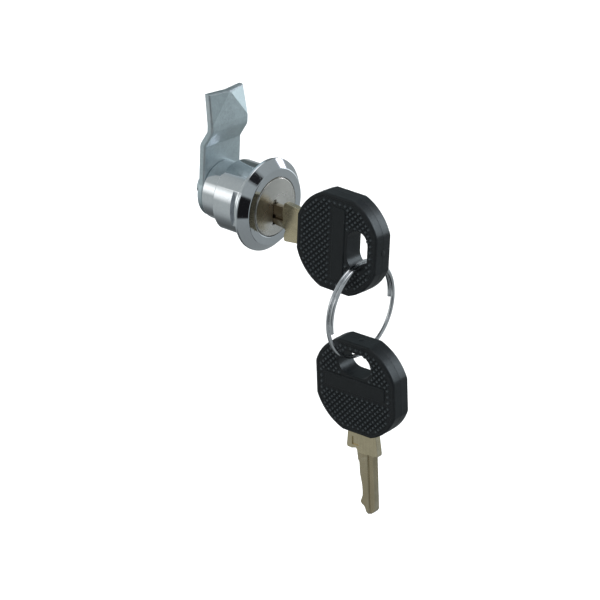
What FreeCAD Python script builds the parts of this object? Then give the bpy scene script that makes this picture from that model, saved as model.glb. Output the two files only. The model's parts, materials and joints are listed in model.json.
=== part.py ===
import FreeCAD, Part
import math
import os
import Sketcher
from FreeCAD import Placement, Rotation, Vector

# Lock cylinder for a sheet metal door, with two keys on a split ring.
# Frame in millimetres: the lock's axis is Y, the key side is -Y, +Z is up, and the
# origin is on the axis at the back face of the flange, which seats on the door.

# Driving sizes: name, value in millimetres (or degrees where the name says so)
SIZES = [
    # housing
    ("flange_radius", 14.0),
    ("flange_rim", 0.9),
    ("flange_height", 3.45),
    ("ring_land_radius", 11.6),
    ("body_radius", 11.2),
    ("body_length", 11.0),
    ("band_depth", 0.45),
    ("band_deg", 83.6),
    ("rear_radius", 9.0),
    ("housing_length", 17.2),
    ("edge_break", 0.25),
    # slot across each side of the housing for a retaining clip
    ("clip_slot_start", 2.6),
    ("clip_slot_width", 1.6),
    ("clip_slot_floor", 9.8),
    # plug, its head and its seat in the housing
    ("plug_radius", 6.6),
    ("running_gap", 0.05),
    ("plug_head_radius", 8.9),
    ("plug_head_gap", 0.15),
    ("head_seat", 0.5),
    ("end_play", 0.05),
    ("plate_thickness", 0.5),
    ("plate_front", 3.65),
    ("plate_chamfer", 0.2),
    # quarter turn stop: a lug behind the plug's head, in a recess of the housing
    ("turn_deg", 90.0),
    ("stop_depth", 1.5),
    ("stop_reach", 1.5),
    ("stop_lug_deg", 24.0),
    ("stop_gap_deg", 1.0),
    ("stop_gap", 0.15),
    # circlip behind the plug
    ("circlip_inset", 1.25),
    ("circlip_thickness", 0.6),
    ("circlip_depth", 0.8),
    ("circlip_reach", 1.3),
    ("circlip_opening_deg", 50.0),
    ("circlip_gap", 0.2),
    # tang, cam, washer and screw
    ("cam_gap", 0.1),
    ("cam_thickness", 2.0),
    ("cam_half_width", 8.0),
    ("cam_hub_radius", 8.6),
    ("tang_size", 7.2),
    ("tang_clearance", 0.05),
    ("tang_short", 0.1),
    ("crank_start", 14.9),
    ("crank_end", 19.3),
    ("crank_step", 2.65),
    ("tip_start", 21.7),
    ("tip_top", 31.0),
    ("tip_half_width", 7.5),
    ("tip_lean", 0.55),
    ("tip_bevel", 1.35),
    ("tip_side_thickness", 1.9),
    ("tip_mid_thickness", 2.3),
    ("screw_radius", 2.45),
    ("screw_hole_radius", 2.5),
    ("screw_hole_wall", 0.6),
    ("screw_end_gap", 0.4),
    ("screw_flats", 8.0),
    ("screw_head", 3.5),
    ("washer_radius", 5.3),
    ("washer_hole_radius", 2.65),
    ("washer_thickness", 0.9),
    # wafers and their springs
    ("wafer_first", 1.2),
    ("wafer_pitch", 1.9),
    ("wafer_thickness", 1.2),
    ("wafer_radius", 6.55),
    ("wafer_half_width", 3.1),
    ("wafer_slot_gap", 0.05),
    ("wafer_lift", 0.6),
    ("wafer_window_half_width", 1.35),
    ("wafer_window_top", 0.5),
    ("lug_reach", 1.1),
    ("lug_top", 0.9),
    ("lug_bottom", 0.5),
    ("spring_radius", 0.42),
    ("spring_wire", 0.2),
    ("spring_floor", 4.2),
    ("spring_gap", 0.05),
    ("locking_groove_gap", 0.2),
    ("locking_groove_run", 1.1),
    # key: lengths along the key are measured from the middle of its head
    ("head_radius", 15.6),
    ("head_half_flats", 14.7),
    ("head_thickness", 6.7),
    ("head_bevel", 0.6),
    ("slot_far", 11.35),
    ("slot_near", 3.9),
    ("slot_half_length", 6.0),
    ("blade_thickness", 2.0),
    ("bow_start", 2.0),
    ("bow_half_width", 5.0),
    ("spine", 4.5),
    ("spine_root", 21.9),
    ("blade_tip", 41.8),
    ("shoulder_root_low", 5.0),
    ("shoulder_root_high", 5.2),
    ("groove_depth", 0.5),
    ("stamp_depth", 0.3),
    ("keyway_half_width", 1.1),
    ("keyway_gap", 0.15),
    ("keyway_bottom", 5.4),
    ("keyway_end_gap", 0.3),
    ("tip_past_wafers", 1.8),
    ("key_travel", 17.5),
    # where the keys and the ring lie
    ("key_drop", 3.4),
    ("ring_radius", 14.3),
    ("ring_wire", 1.2),
    ("ring_pitch", 1.25),
    ("ring_turns", 1.54),
    ("ring_end_deg", 193.0),
    ("ring_hang", 1.5),
    ("spare_round_ring_deg", 4.45),
    ("spare_pitch_deg", 1.7),
    ("spare_hang", 1.2),
]

WAFERS = 6
SPRING_TURNS = 7
# Direction of the middle of the plug's stop lug and of the housing's recess, in degrees from +X towards -Z
LUG_AT = 135
RECESS_AT = 180
# How far a cutting outline runs past the face that it cuts
PAST = 1.0
# Length of the slanted end of the key's spine
SPINE_SLANT = 2.0

# Edge of the key's bitting from shoulder to tip: distance back from the tip, height across the key
BITTING = [
    (17.4, -1.56), (16.5, -1.09), (12.7, -0.96), (11.0, -0.63), (9.3, -0.31), (7.4, -0.18), (5.6, -0.25),
    (4.6, -0.63), (3.5, -1.06), (2.8, -0.7), (2.2, 0.33), (1.4, 0.69), (0.5, 0.93),
]
# Rounded tip, in the same way
TIP = [(0.05, 1.7), (0.0, 2.5), (1.1, 3.9)]
# Flared shoulders: distance out of the head, height across the key
SHOULDER_LOW = [(1.4, -5.1), (6.0, -5.68), (6.6, -5.45), (6.7, -3.8), (6.2, -2.3), (6.7, -1.85)]
SHOULDER_HIGH = [(6.9, 5.95), (6.2, 6.12), (1.0, 5.6)]
# Shallow stamped mark on the shoulder: distances out of the head, then heights across the key
STAMP = (2.6, 5.3, -3.5, -1.2)
# Grooves along the blade: which face, then heights across the key
GROOVES = [(1, 2.0, 3.7), (-1, 0.4, 1.5)]


class Size:
    """A number that remembers the sheet expression it comes from."""

    def __init__(self, value, text):
        self.value = value
        self.text = text

    def join(self, other, sign, value):
        return Size(value, "(" + self.text + " " + sign + " " + other.text + ")")

    def __add__(self, other):
        other = size(other)
        return self.join(other, "+", self.value + other.value)

    def __sub__(self, other):
        other = size(other)
        return self.join(other, "-", self.value - other.value)

    def __mul__(self, other):
        other = size(other)
        return self.join(other, "*", self.value * other.value)

    def __truediv__(self, other):
        other = size(other)
        return self.join(other, "/", self.value / other.value)

    def __neg__(self):
        return Size(-self.value, "(-1 * " + self.text + ")")


def size(number):
    """Turns a plain number into a Size, and leaves a Size alone."""
    if isinstance(number, Size):
        return number
    return Size(float(number), repr(float(number)))


class Sheet:
    """The driving sizes, each one readable by its name."""

    def __init__(self, doc):
        self.page = doc.addObject("Spreadsheet::Sheet", "Sizes")
        for row, (name, value) in enumerate(SIZES, 1):
            self.page.set("A" + str(row), name)
            self.page.set("B" + str(row), str(value))
            self.page.setAlias("B" + str(row), name)
            setattr(self, name, Size(value, "Sizes." + name))


doc = FreeCAD.newDocument("LockCylinder")
s = Sheet(doc)
doc.recompute()

nodes = []


def add_node(item, label):
    """Gives a finished sub-part its name and keeps it for export."""
    item.Label = label
    nodes.append(item)
    return item


def new_body(label):
    body = doc.addObject("PartDesign::Body", label)
    return add_node(body, label)


def bind(item, path, value):
    item.setExpression(path, size(value).text)


def polygon(points):
    """A closed outline of straight lines, each corner bound to its two sizes."""
    points = [(size(a), size(b)) for a, b in points]

    def draw(item):
        first = item.GeometryCount
        count = len(points)
        for i in range(count):
            (ax, ay), (bx, by) = points[i], points[(i + 1) % count]
            start = Vector(ax.value, ay.value, 0)
            item.addGeometry(Part.LineSegment(start, Vector(bx.value, by.value, 0)))
        for i in range(count):
            item.addConstraint(Sketcher.Constraint("Coincident", first + i, 2, first + (i + 1) % count, 1))
        for i, (across, up) in enumerate(points):
            for kind, value in (("DistanceX", across), ("DistanceY", up)):
                number = item.addConstraint(Sketcher.Constraint(kind, -1, 1, first + i, 1, value.value))
                bind(item, "Constraints[" + str(number) + "]", value)
    return draw


def rectangle(low_x, high_x, low_y, high_y):
    return polygon([(low_x, low_y), (high_x, low_y), (high_x, high_y), (low_x, high_y)])


def circle(centre_x, centre_y, radius):
    centre_x, centre_y, radius = size(centre_x), size(centre_y), size(radius)

    def draw(item):
        centre = Vector(centre_x.value, centre_y.value, 0)
        geo = item.addGeometry(Part.Circle(centre, Vector(0, 0, 1), radius.value))
        rules = [
            (Sketcher.Constraint("DistanceX", -1, 1, geo, 3, centre_x.value), centre_x),
            (Sketcher.Constraint("DistanceY", -1, 1, geo, 3, centre_y.value), centre_y),
            (Sketcher.Constraint("Radius", geo, radius.value), radius),
        ]
        for rule, value in rules:
            bind(item, "Constraints[" + str(item.addConstraint(rule)) + "]", value)
    return draw


def sketch(body, plane, outlines, offset=None, turn=0.0):
    """A sketch on one of the body's own planes, moved along its normal and turned about Y."""
    item = body.newObject("Sketcher::SketchObject", body.Name + "_sketch")
    support = [f for f in body.Origin.OriginFeatures if f.Role == plane][0]
    item.AttachmentSupport = [(support, "")]
    item.MapMode = "FlatFace"
    item.AttachmentOffset = Placement(Vector(), Rotation(Vector(0, 1, 0), turn))
    if offset is not None:
        bind(item, ".AttachmentOffset.Base.z", offset)
    for draw in outlines:
        draw(item)
    return item


def feature(body, kind, profile, **settings):
    item = body.newObject("PartDesign::" + kind, body.Name + "_" + kind)
    item.Profile = profile
    for name, value in settings.items():
        if isinstance(value, Size):
            bind(item, name, value)
        else:
            setattr(item, name, value)
    profile.Visibility = False
    return item


def turned(body, kind, outlines, angle=360.0, turn=0.0):
    """Turns an outline of radius and Y about the lock's axis, evenly to both sides of the XY plane."""
    profile = sketch(body, "XY_Plane", outlines, turn=turn)
    item = feature(body, kind, profile, ReferenceAxis=(profile, ["V_Axis"]), Midplane=True)
    if isinstance(angle, Size):
        bind(item, "Angle", angle)
    else:
        item.Angle = angle
    return item


def along_axis(body, kind, outlines, start, length):
    """Pads or pockets an outline of X and Z from one place along Y towards +Y."""
    profile = sketch(body, "XZ_Plane", outlines, offset=-size(start))
    return feature(body, kind, profile, Length=size(length), Reversed=(kind == "Pad"))


# Sizes that more than one piece needs
bore_radius = s.plug_radius + s.running_gap
recess_radius = s.plug_head_radius + s.plug_head_gap
circlip_room = s.plug_radius + s.circlip_reach + s.circlip_gap
keyway_top = s.spine - s.key_drop + s.keyway_gap
circlip_start = s.housing_length - s.circlip_inset
cam_front = s.housing_length + s.cam_gap
cam_back = cam_front + s.cam_thickness
tang_end = cam_back - s.tang_short
wafer_slot_width = s.wafer_thickness + s.wafer_slot_gap * 2
# How far in the blade's tip reaches, and how far out the middle of the first key's head then is
key_tip = s.wafer_first + s.wafer_pitch * (WAFERS - 1) + s.tip_past_wafers
key_depth = s.blade_tip - key_tip
keyway_end = key_tip + s.keyway_end_gap
screw_hole_end = keyway_end + s.screw_hole_wall


def wafer_start(index):
    """Where a wafer's front face lies along Y."""
    return s.wafer_first + s.wafer_pitch * index - s.wafer_thickness / 2


def blade_underside(back):
    """Height of the bitting edge in the lock, at a distance back from the blade's tip."""
    for (far, low), (near, high) in zip(BITTING, BITTING[1:]):
        if near <= back <= far:
            return low + (high - low) * (far - back) / (far - near) - s.key_drop.value
    return BITTING[-1][1] - s.key_drop.value


def window_floor(index):
    """Lowest place that the bitting leaves a wafer's window while the key slides out and the wafer rises."""
    front = key_tip.value - wafer_start(index).value
    lift_rate = s.wafer_lift.value / s.key_travel.value
    steps = 60
    floors = []
    for step in range(steps + 1):
        back = front * step / steps
        floors.append(blade_underside(back) - (front - back) * lift_rate)
    return min(floors) - s.keyway_gap.value


def make_housing():
    body = new_body("housing")
    turned(body, "Revolution", [polygon([
        (recess_radius, -s.flange_height),
        (s.ring_land_radius, -s.flange_height),
        (s.flange_radius, -s.flange_rim),
        (s.flange_radius, 0),
        (s.body_radius, 0),
        (s.body_radius, s.body_length - s.edge_break),
        (s.body_radius - s.edge_break, s.body_length),
        (s.rear_radius, s.body_length),
        (s.rear_radius, s.housing_length - s.edge_break),
        (s.rear_radius - s.edge_break, s.housing_length),
        (circlip_room, s.housing_length),
        (circlip_room, circlip_start - s.end_play),
        (bore_radius, circlip_start - s.end_play),
        (bore_radius, -s.head_seat),
        (recess_radius, -s.head_seat),
    ])])
    # shallow bands along the top and the underside of the front section
    past = s.body_radius + PAST
    for turn in (-90, 90):
        turned(body, "Groove", [rectangle(
            s.body_radius - s.band_depth, past, 0, s.body_length + s.edge_break)], s.band_deg, turn)
    # one slot straight across each side for the clip
    for side in (1, -1):
        profile = sketch(body, "XY_Plane", [rectangle(
            s.clip_slot_floor * side, past * side, s.clip_slot_start, s.clip_slot_start + s.clip_slot_width)])
        feature(body, "Pocket", profile, Length=past * 2, Midplane=True)
    # lengthwise grooves that the raised wafers lock into, at every quarter turn
    wide = s.wafer_half_width + s.locking_groove_gap
    tall = s.wafer_radius + s.wafer_lift + s.locking_groove_gap
    groove_end = wafer_start(WAFERS - 1) + s.wafer_thickness + s.locking_groove_run
    for across, up in ((wide, tall), (tall, wide)):
        along_axis(body, "Pocket", [rectangle(-across, across, -up, up)],
                   -s.head_seat, groove_end + s.head_seat)
    # recess in which the plug's stop lug swings a quarter turn
    turned(body, "Groove", [rectangle(
        s.plug_radius / 2, s.plug_radius + s.stop_reach + s.stop_gap,
        -s.head_seat - s.edge_break, s.stop_depth - s.head_seat + s.stop_gap)],
        s.turn_deg + s.stop_lug_deg + s.stop_gap_deg * 2, RECESS_AT)


def make_plug():
    body = new_body("plug")
    head_front = s.plate_thickness - s.plate_front
    head_back = -s.head_seat - s.end_play
    groove_radius = s.plug_radius - s.circlip_depth
    groove_end = circlip_start + s.circlip_thickness + s.end_play
    turned(body, "Revolution", [polygon([
        (0, head_front),
        (s.plug_head_radius, head_front),
        (s.plug_head_radius, head_back),
        (s.plug_radius, head_back),
        (s.plug_radius, circlip_start),
        (groove_radius, circlip_start),
        (groove_radius, groove_end),
        (s.plug_radius, groove_end),
        (s.plug_radius, cam_front),
        (0, cam_front),
    ])])
    # stop lug, at rest at one end of the housing's recess
    turned(body, "Revolution", [rectangle(
        s.plug_radius / 2, s.plug_radius + s.stop_reach, head_back, head_back + s.stop_depth)],
        s.stop_lug_deg, LUG_AT)
    # square tang for the cam
    half = s.tang_size / 2
    along_axis(body, "Pad", [rectangle(-half, half, -half, half)],
               cam_front - s.cam_gap, tang_end - cam_front + s.cam_gap)
    along_axis(body, "Pocket", [circle(0, 0, s.screw_hole_radius)],
               screw_hole_end, tang_end - screw_hole_end + PAST)
    along_axis(body, "Pocket", [rectangle(
        -s.keyway_half_width, s.keyway_half_width, -s.keyway_bottom, keyway_top)],
        -s.plate_front, keyway_end + s.plate_front)
    # a slot right through for each wafer, with room at alternate sides for its lug and spring
    slot = s.wafer_half_width + s.wafer_slot_gap
    room = s.wafer_half_width + s.lug_reach + s.keyway_gap
    lug_room = s.lug_top + s.wafer_lift + s.keyway_gap
    past = s.plug_radius + PAST
    for index in range(WAFERS):
        side = wafer_side(index)
        along_axis(body, "Pocket", [polygon([
            (slot * -side, -past),
            (slot * side, -past),
            (slot * side, -s.spring_floor),
            (room * side, -s.spring_floor),
            (room * side, lug_room),
            (slot * side, lug_room),
            (slot * side, past),
            (slot * -side, past),
        ])], wafer_start(index) - s.wafer_slot_gap, wafer_slot_width)


def make_face_plate():
    body = new_body("plug_face_plate")
    front = -s.plate_front
    turned(body, "Revolution", [polygon([
        (0, front),
        (s.plug_head_radius - s.plate_chamfer, front),
        (s.plug_head_radius, front + s.plate_chamfer),
        (s.plug_head_radius, front + s.plate_thickness),
        (0, front + s.plate_thickness),
    ])])
    # keyway, with a narrower notch above it
    wide = s.keyway_half_width
    along_axis(body, "Pocket", [polygon([
        (-wide, -s.keyway_bottom),
        (wide, -s.keyway_bottom),
        (wide, keyway_top),
        (wide / 4, keyway_top),
        (wide / 4, keyway_top + wide),
        (-wide, keyway_top + wide),
    ])], front - s.plate_thickness, s.plate_thickness * 3)


def make_circlip():
    body = new_body("plug_circlip")
    turned(body, "Revolution", [rectangle(
        s.plug_radius - s.circlip_depth + s.running_gap, s.plug_radius + s.circlip_reach,
        circlip_start, circlip_start + s.circlip_thickness)],
        size(360) - s.circlip_opening_deg)


def part(kind, name, **settings):
    item = doc.addObject("Part::" + kind, name)
    for path, value in settings.items():
        bind(item, path.replace("__", "."), value)
    return item


def block(name, low, high):
    """A box between two corners, each given as X, Y and Z."""
    item = part("Box", name)
    sides = ("Length", "Width", "Height")
    for letter, side, start, end in zip("xyz", sides, low, high):
        start, end = size(start), size(end)
        bind(item, side, end - start)
        bind(item, "Placement.Base." + letter, start)
    return item


def rod(name, radius, start, end):
    """A round bar along the lock's axis."""
    item = part("Cylinder", name, Radius=radius, Height=size(end) - size(start))
    item.Placement = Placement(Vector(), Rotation(Vector(1, 0, 0), -90))
    bind(item, "Placement.Base.y", start)
    return item


def combine(kind, name, first, second):
    item = doc.addObject("Part::" + kind, name)
    item.Base = first
    item.Tool = second
    return item


def wafer_side(index):
    """Which side of the plug a wafer's lug and spring are on."""
    return 1 if index % 2 == 0 else -1


def make_wafer(index):
    label = "wafer_" + str(index + 1)
    start = wafer_start(index)
    end = start + s.wafer_thickness
    side = wafer_side(index)
    wide = s.wafer_half_width
    disc = rod(label + "_disc", s.wafer_radius, start, end)
    strip = block(label + "_strip", (-wide, start, -s.wafer_radius), (wide, end, s.wafer_radius))
    plate = combine("Common", label + "_plate", disc, strip)
    reach = wide + s.lug_reach
    near, far = (wide / 2, reach) if side > 0 else (-reach, -wide / 2)
    lug = block(label + "_lug", (near, start, -s.lug_bottom), (far, end, s.lug_top))
    blank = combine("Fuse", label + "_blank", plate, lug)
    window = block(
        label + "_window",
        (-s.wafer_window_half_width, start - PAST, window_floor(index)),
        (s.wafer_window_half_width, end + PAST, keyway_top + s.wafer_window_top))
    add_node(combine("Cut", label, blank, window), label)


def coil(label, radius, wire, pitch, turns, place, stretch=0.0):
    """Round wire wound on a cylinder that stands along Z from the given place.

    A stretch is the turns that one face of the wire takes up, or 0 for one face in all."""
    path = part("Helix", label + "_path", Radius=radius, Pitch=pitch, Height=size(pitch) * turns)
    path.SegmentLength = stretch
    path.Placement = place
    end = part("Circle", label + "_section", Radius=wire / 2)
    end.Placement = place.multiply(Placement(Vector(radius.value, 0, 0), Rotation(Vector(1, 0, 0), -90)))
    doc.recompute()
    sweep = doc.addObject("Part::Sweep", label)
    sweep.Sections = [end]
    sweep.Spine = (path, ["Edge" + str(n + 1) for n in range(len(path.Shape.Edges))])
    sweep.Solid = True
    sweep.Frenet = True
    return add_node(sweep, label)


def make_spring(index):
    low = -s.spring_floor + s.spring_gap + s.spring_wire / 2
    high = -s.lug_bottom - s.spring_gap - s.spring_wire / 2
    across = (s.wafer_half_width + s.lug_reach / 2 + s.spring_gap) * wafer_side(index)
    along = wafer_start(index) + s.wafer_thickness / 2
    coil("wafer_spring_" + str(index + 1), s.spring_radius, s.spring_wire, (high - low) / SPRING_TURNS,
         SPRING_TURNS, Placement(Vector(across.value, along.value, low.value), Rotation()))


def make_cam():
    hub = s.cam_hub_radius
    step_front = cam_front - s.crank_step
    step_back = step_front + s.cam_thickness
    bend = bend_rise(s.crank_step, s.crank_end - s.crank_start) * s.cam_thickness
    strip = doc.addObject("PartDesign::Body", "cam_strip")
    profile = sketch(strip, "YZ_Plane", [polygon([
        (cam_front, -hub),
        (cam_back, -hub),
        (cam_back, s.crank_start + bend),
        (step_back, s.crank_end + bend),
        (step_back, s.tip_start),
        (step_front, s.tip_start),
        (step_front, s.crank_end),
        (cam_front, s.crank_start),
    ])])
    feature(strip, "Pad", profile, Length=hub * 2, Midplane=True)
    wide = s.cam_half_width
    disc = rod("cam_hub", hub, cam_front - hub, cam_back + hub)
    sides = block("cam_sides", (-wide, cam_front - hub, 0), (wide, cam_back + hub, s.tip_top))
    outline = combine("Fuse", "cam_outline", disc, sides)
    plate = combine("Common", "cam_plate", strip, outline)
    whole = combine("Fuse", "cam_whole", plate, make_cam_tip(step_front, step_back))
    hole = s.tang_size / 2 + s.tang_clearance
    square = block("cam_square", (-hole, cam_front - PAST, -hole), (hole, cam_back + PAST, hole))
    add_node(combine("Cut", "cam", whole, square), "cam")


def bend_rise(step, run):
    """How far a bend's outer corner lies past its inner one, per millimetre of thickness."""
    value = math.tan(math.atan2(step.value, run.value) / 2)
    return Size(value, "tan(atan(" + step.text + " / " + run.text + ") / 2)")


def make_cam_tip(front, back):
    """The pressed tip: its sides are folded back from the middle of the top edge."""
    low = s.tip_start.value
    top = s.tip_top.value
    wide = s.cam_half_width.value
    narrow = s.tip_half_width.value
    mid = front.value + s.tip_lean.value
    side = mid + s.tip_bevel.value
    mid_back = mid + s.tip_mid_thickness.value
    side_back = side + s.tip_side_thickness.value
    a, b = Vector(-wide, front.value, low), Vector(wide, front.value, low)
    c, d = Vector(-wide, back.value, low), Vector(wide, back.value, low)
    left, middle, right = Vector(-narrow, side, top), Vector(0, mid, top), Vector(narrow, side, top)
    left_back, right_back = Vector(-narrow, side_back, top), Vector(narrow, side_back, top)
    middle_back = Vector(0, mid_back, top)
    outlines = [
        (a, b, middle), (a, middle, left), (b, right, middle),
        (c, middle_back, d), (c, left_back, middle_back), (d, middle_back, right_back),
        (a, left, left_back, c), (b, d, right_back, right),
        (left, middle, right, right_back, middle_back, left_back), (a, c, d, b),
    ]
    faces = [Part.Face(Part.makePolygon(list(points) + [points[0]])) for points in outlines]
    item = doc.addObject("Part::Feature", "cam_tip")
    solid = Part.makeSolid(Part.makeShell(faces))
    if solid.Volume < 0:
        solid.reverse()
    item.Shape = solid
    return item


def make_washer():
    start = cam_back
    end = start + s.washer_thickness
    disc = rod("washer_disc", s.washer_radius, start, end)
    hole = rod("washer_hole", s.washer_hole_radius, start - PAST, end + PAST)
    add_node(combine("Cut", "cam_washer", disc, hole), "cam_washer")


def make_screw():
    body = new_body("cam_screw")
    start = cam_back + s.washer_thickness
    half = s.screw_flats / 2
    corner = Size(s.screw_flats.value / math.sqrt(3), "(" + s.screw_flats.text + " / sqrt(3))")
    along_axis(body, "Pad", [polygon([
        (corner, 0), (corner / 2, half), (corner / -2, half),
        (-corner, 0), (corner / -2, -half), (corner / 2, -half),
    ])], start, s.screw_head)
    tip = screw_hole_end + s.screw_end_gap
    along_axis(body, "Pad", [circle(0, 0, s.screw_radius)], tip, start - tip + s.edge_break)


def make_blade(label):
    """The metal of a key, in its own frame: X towards the tip, Y towards the spine, Z out of its face."""
    body = new_body(label)
    exit_at = s.head_half_flats
    outline = [(s.bow_start, -s.bow_half_width), (exit_at, -s.shoulder_root_low)]
    outline += [(exit_at + out, height) for out, height in SHOULDER_LOW]
    outline += [(s.blade_tip - back, height) for back, height in BITTING + TIP]
    outline += [(s.blade_tip - SPINE_SLANT, s.spine), (s.spine_root, s.spine)]
    outline += [(exit_at + out, height) for out, height in SHOULDER_HIGH]
    outline += [(exit_at, s.shoulder_root_high)]
    outline += [(exit_at, s.bow_half_width), (s.bow_start, s.bow_half_width)]
    profile = sketch(body, "XY_Plane", [polygon(outline)])
    feature(body, "Pad", profile, Length=s.blade_thickness, Midplane=True)
    face = s.blade_thickness / 2
    for side, low, high in GROOVES:
        groove = rectangle(s.spine_root, s.blade_tip + PAST, low, high)
        profile = sketch(body, "XY_Plane", [groove], offset=face * side)
        feature(body, "Pocket", profile, Length=s.groove_depth, Reversed=(side < 0))
    near, far, low, high = STAMP
    mark = rectangle(exit_at + near, exit_at + far, low, high)
    profile = sketch(body, "XY_Plane", [mark], offset=face)
    feature(body, "Pocket", profile, Length=s.stamp_depth)
    return body


def make_head(label):
    """The moulded head of a key, in the same frame as its blade, round with four flats."""
    body = new_body(label)
    thick = s.head_thickness
    profile = sketch(body, "XY_Plane", [circle(0, 0, s.head_radius)])
    feature(body, "Pad", profile, Length=thick, Midplane=True)
    past = s.head_radius + PAST
    flat = s.head_half_flats
    square = [rectangle(side, -side, side, -side) for side in (-past, -flat)]
    trim = feature(body, "Pocket", sketch(body, "XY_Plane", square), Length=thick + PAST, Midplane=True)
    doc.recompute()
    rim = [
        "Edge" + str(number) for number, edge in enumerate(trim.Shape.Edges, 1)
        if edge.BoundBox.ZLength < s.head_bevel.value
    ]
    bevel = body.newObject("PartDesign::Chamfer", label + "_bevel")
    bevel.Base = (trim, rim)
    bind(bevel, "Size", s.head_bevel)
    # slot for the ring, round at both ends
    round_end = (s.slot_far - s.slot_near) / 2
    middle = -(s.slot_far + s.slot_near) / 2
    straight = s.slot_half_length - round_end
    cuts = [rectangle(-s.slot_far, -s.slot_near, -straight, straight)]
    cuts += [circle(middle, straight * end, round_end) for end in (1, -1)]
    for cut in cuts:
        feature(body, "Pocket", sketch(body, "XY_Plane", [cut]), Length=thick + PAST, Midplane=True)
    # room for the bow of the blade
    profile = sketch(body, "XY_Plane", [rectangle(
        s.bow_start, s.head_half_flats + PAST, -s.bow_half_width, s.bow_half_width)])
    feature(body, "Pocket", profile, Length=s.blade_thickness, Midplane=True)
    return body


def place_key(bodies, base, turn):
    for body in bodies:
        body.Placement = Placement(Vector(), turn)
        for letter, value in zip("xyz", base):
            bind(body, "Placement.Base." + letter, value)


def make_key_1():
    turn = Rotation(Vector(1, 1, 1), 120)
    place_key([make_blade("key_1_blade"), make_head("key_1_head")], (0, -key_depth, -s.key_drop), turn)


# The ring hangs in the end of the first key's slot, and the spare key on the ring
ring_top = s.ring_hang - s.key_drop - s.slot_half_length
ring_middle = ring_top - s.ring_radius
ring_along = key_depth + (s.slot_far + s.slot_near) / 2


def make_ring():
    length = s.ring_pitch * s.ring_turns
    start = -ring_along - length / 2
    turn = Rotation(Vector(0, 1, 0), -s.ring_end_deg.value) * Rotation(Vector(1, 0, 0), -90)
    coil("key_ring", s.ring_radius, s.ring_wire, s.ring_pitch, s.ring_turns,
         Placement(Vector(0, start.value, ring_middle.value), turn), stretch=0.4)


def make_key_2():
    lean = s.spare_round_ring_deg.value
    turn = Rotation(Vector(0, 1, 0), -lean) * Rotation(Vector(1, 0, 0), -s.spare_pitch_deg.value)
    turn = turn * Rotation(Vector(1, 0, -1), 180)
    angle = math.radians(lean)
    wire = Vector(math.sin(angle), 0, -math.cos(angle)) * s.ring_radius.value
    wire += Vector(0, -ring_along.value, ring_middle.value)
    down_key = turn.multVec(Vector(1, 0, 0))
    middle = wire + down_key * (s.slot_far.value - s.spare_hang.value)
    place_key([make_blade("key_2_blade"), make_head("key_2_head")], tuple(middle), turn)


def check(item):
    if "Invalid" in item.State or "Error" in item.State:
        raise RuntimeError(item.Label + " could not be built: " + str(item.State))


def export():
    doc.recompute()
    for item in doc.Objects:
        check(item)
    os.makedirs("parts", exist_ok=True)
    for node in nodes:
        shape = node.Shape
        if shape.isNull() or not shape.isValid() or not shape.Solids:
            raise RuntimeError(node.Label + " has no valid solid")
    for node in nodes:
        node.Shape.exportStep("parts/" + node.Label + ".step")
        print(node.Label, len(node.Shape.Solids), round(node.Shape.Volume, 2))


make_housing()
make_plug()
make_face_plate()
make_circlip()
make_cam()
make_washer()
make_screw()
for number in range(WAFERS):
    make_wafer(number)
    make_spring(number)
make_key_1()
make_ring()
make_key_2()
export()
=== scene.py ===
"""Looks of the lock cylinder with its cam and two keys on a split ring, laid out as an add-on."""
import json
import math
from types import SimpleNamespace

import bmesh
import bpy
from mathutils import Matrix, Vector

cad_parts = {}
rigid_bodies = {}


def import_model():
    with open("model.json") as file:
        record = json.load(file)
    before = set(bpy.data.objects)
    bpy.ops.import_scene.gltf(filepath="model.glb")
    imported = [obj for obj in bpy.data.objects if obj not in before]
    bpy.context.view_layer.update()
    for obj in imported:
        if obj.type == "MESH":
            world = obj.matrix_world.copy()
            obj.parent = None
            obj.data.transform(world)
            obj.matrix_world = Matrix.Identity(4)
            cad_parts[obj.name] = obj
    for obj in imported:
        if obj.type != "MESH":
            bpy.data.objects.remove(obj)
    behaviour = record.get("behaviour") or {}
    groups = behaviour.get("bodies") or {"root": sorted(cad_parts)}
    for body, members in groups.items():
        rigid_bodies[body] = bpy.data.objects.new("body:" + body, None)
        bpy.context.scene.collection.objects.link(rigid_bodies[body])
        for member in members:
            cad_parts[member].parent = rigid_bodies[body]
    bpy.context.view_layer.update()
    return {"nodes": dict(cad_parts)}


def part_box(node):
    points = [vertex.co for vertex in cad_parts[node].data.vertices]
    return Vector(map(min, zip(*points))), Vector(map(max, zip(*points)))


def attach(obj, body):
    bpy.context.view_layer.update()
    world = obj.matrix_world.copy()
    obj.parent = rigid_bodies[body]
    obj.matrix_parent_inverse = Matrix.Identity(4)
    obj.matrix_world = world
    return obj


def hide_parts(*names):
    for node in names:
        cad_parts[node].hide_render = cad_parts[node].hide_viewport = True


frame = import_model()

bl_info = {
    "name": "Lock cylinder with keys",
    "version": (1, 0, 0),
    "blender": (4, 5, 0),
    "location": "3D View > Sidebar > Lock",
    "description": "Builds the housing, face plate, cam, fastener, keys and ring of a cam lock",
    "category": "Add Mesh",
}

# The pieces are drawn in millimetres and placed in metres.
MM = 0.001
# The lock's axis is Y. A plate drawn in X and Z gets its thickness towards the key side.
FACING_KEY = Matrix(((1, 0, 0, 0), (0, 0, -1, 0), (0, 1, 0, 0), (0, 0, 0, 1)))


# ---------------------------------------------------------------- sizes and colours

def length(name, description, millimetres):
    """A distance that the user can change, given here in millimetres."""
    return bpy.props.FloatProperty(
        name=name, description=description, default=millimetres * MM, min=0.0,
        precision=5, subtype="DISTANCE", unit="LENGTH")


def turn(name, description, degrees):
    return bpy.props.FloatProperty(
        name=name, description=description, default=math.radians(degrees),
        subtype="ANGLE", unit="ROTATION")


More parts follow.
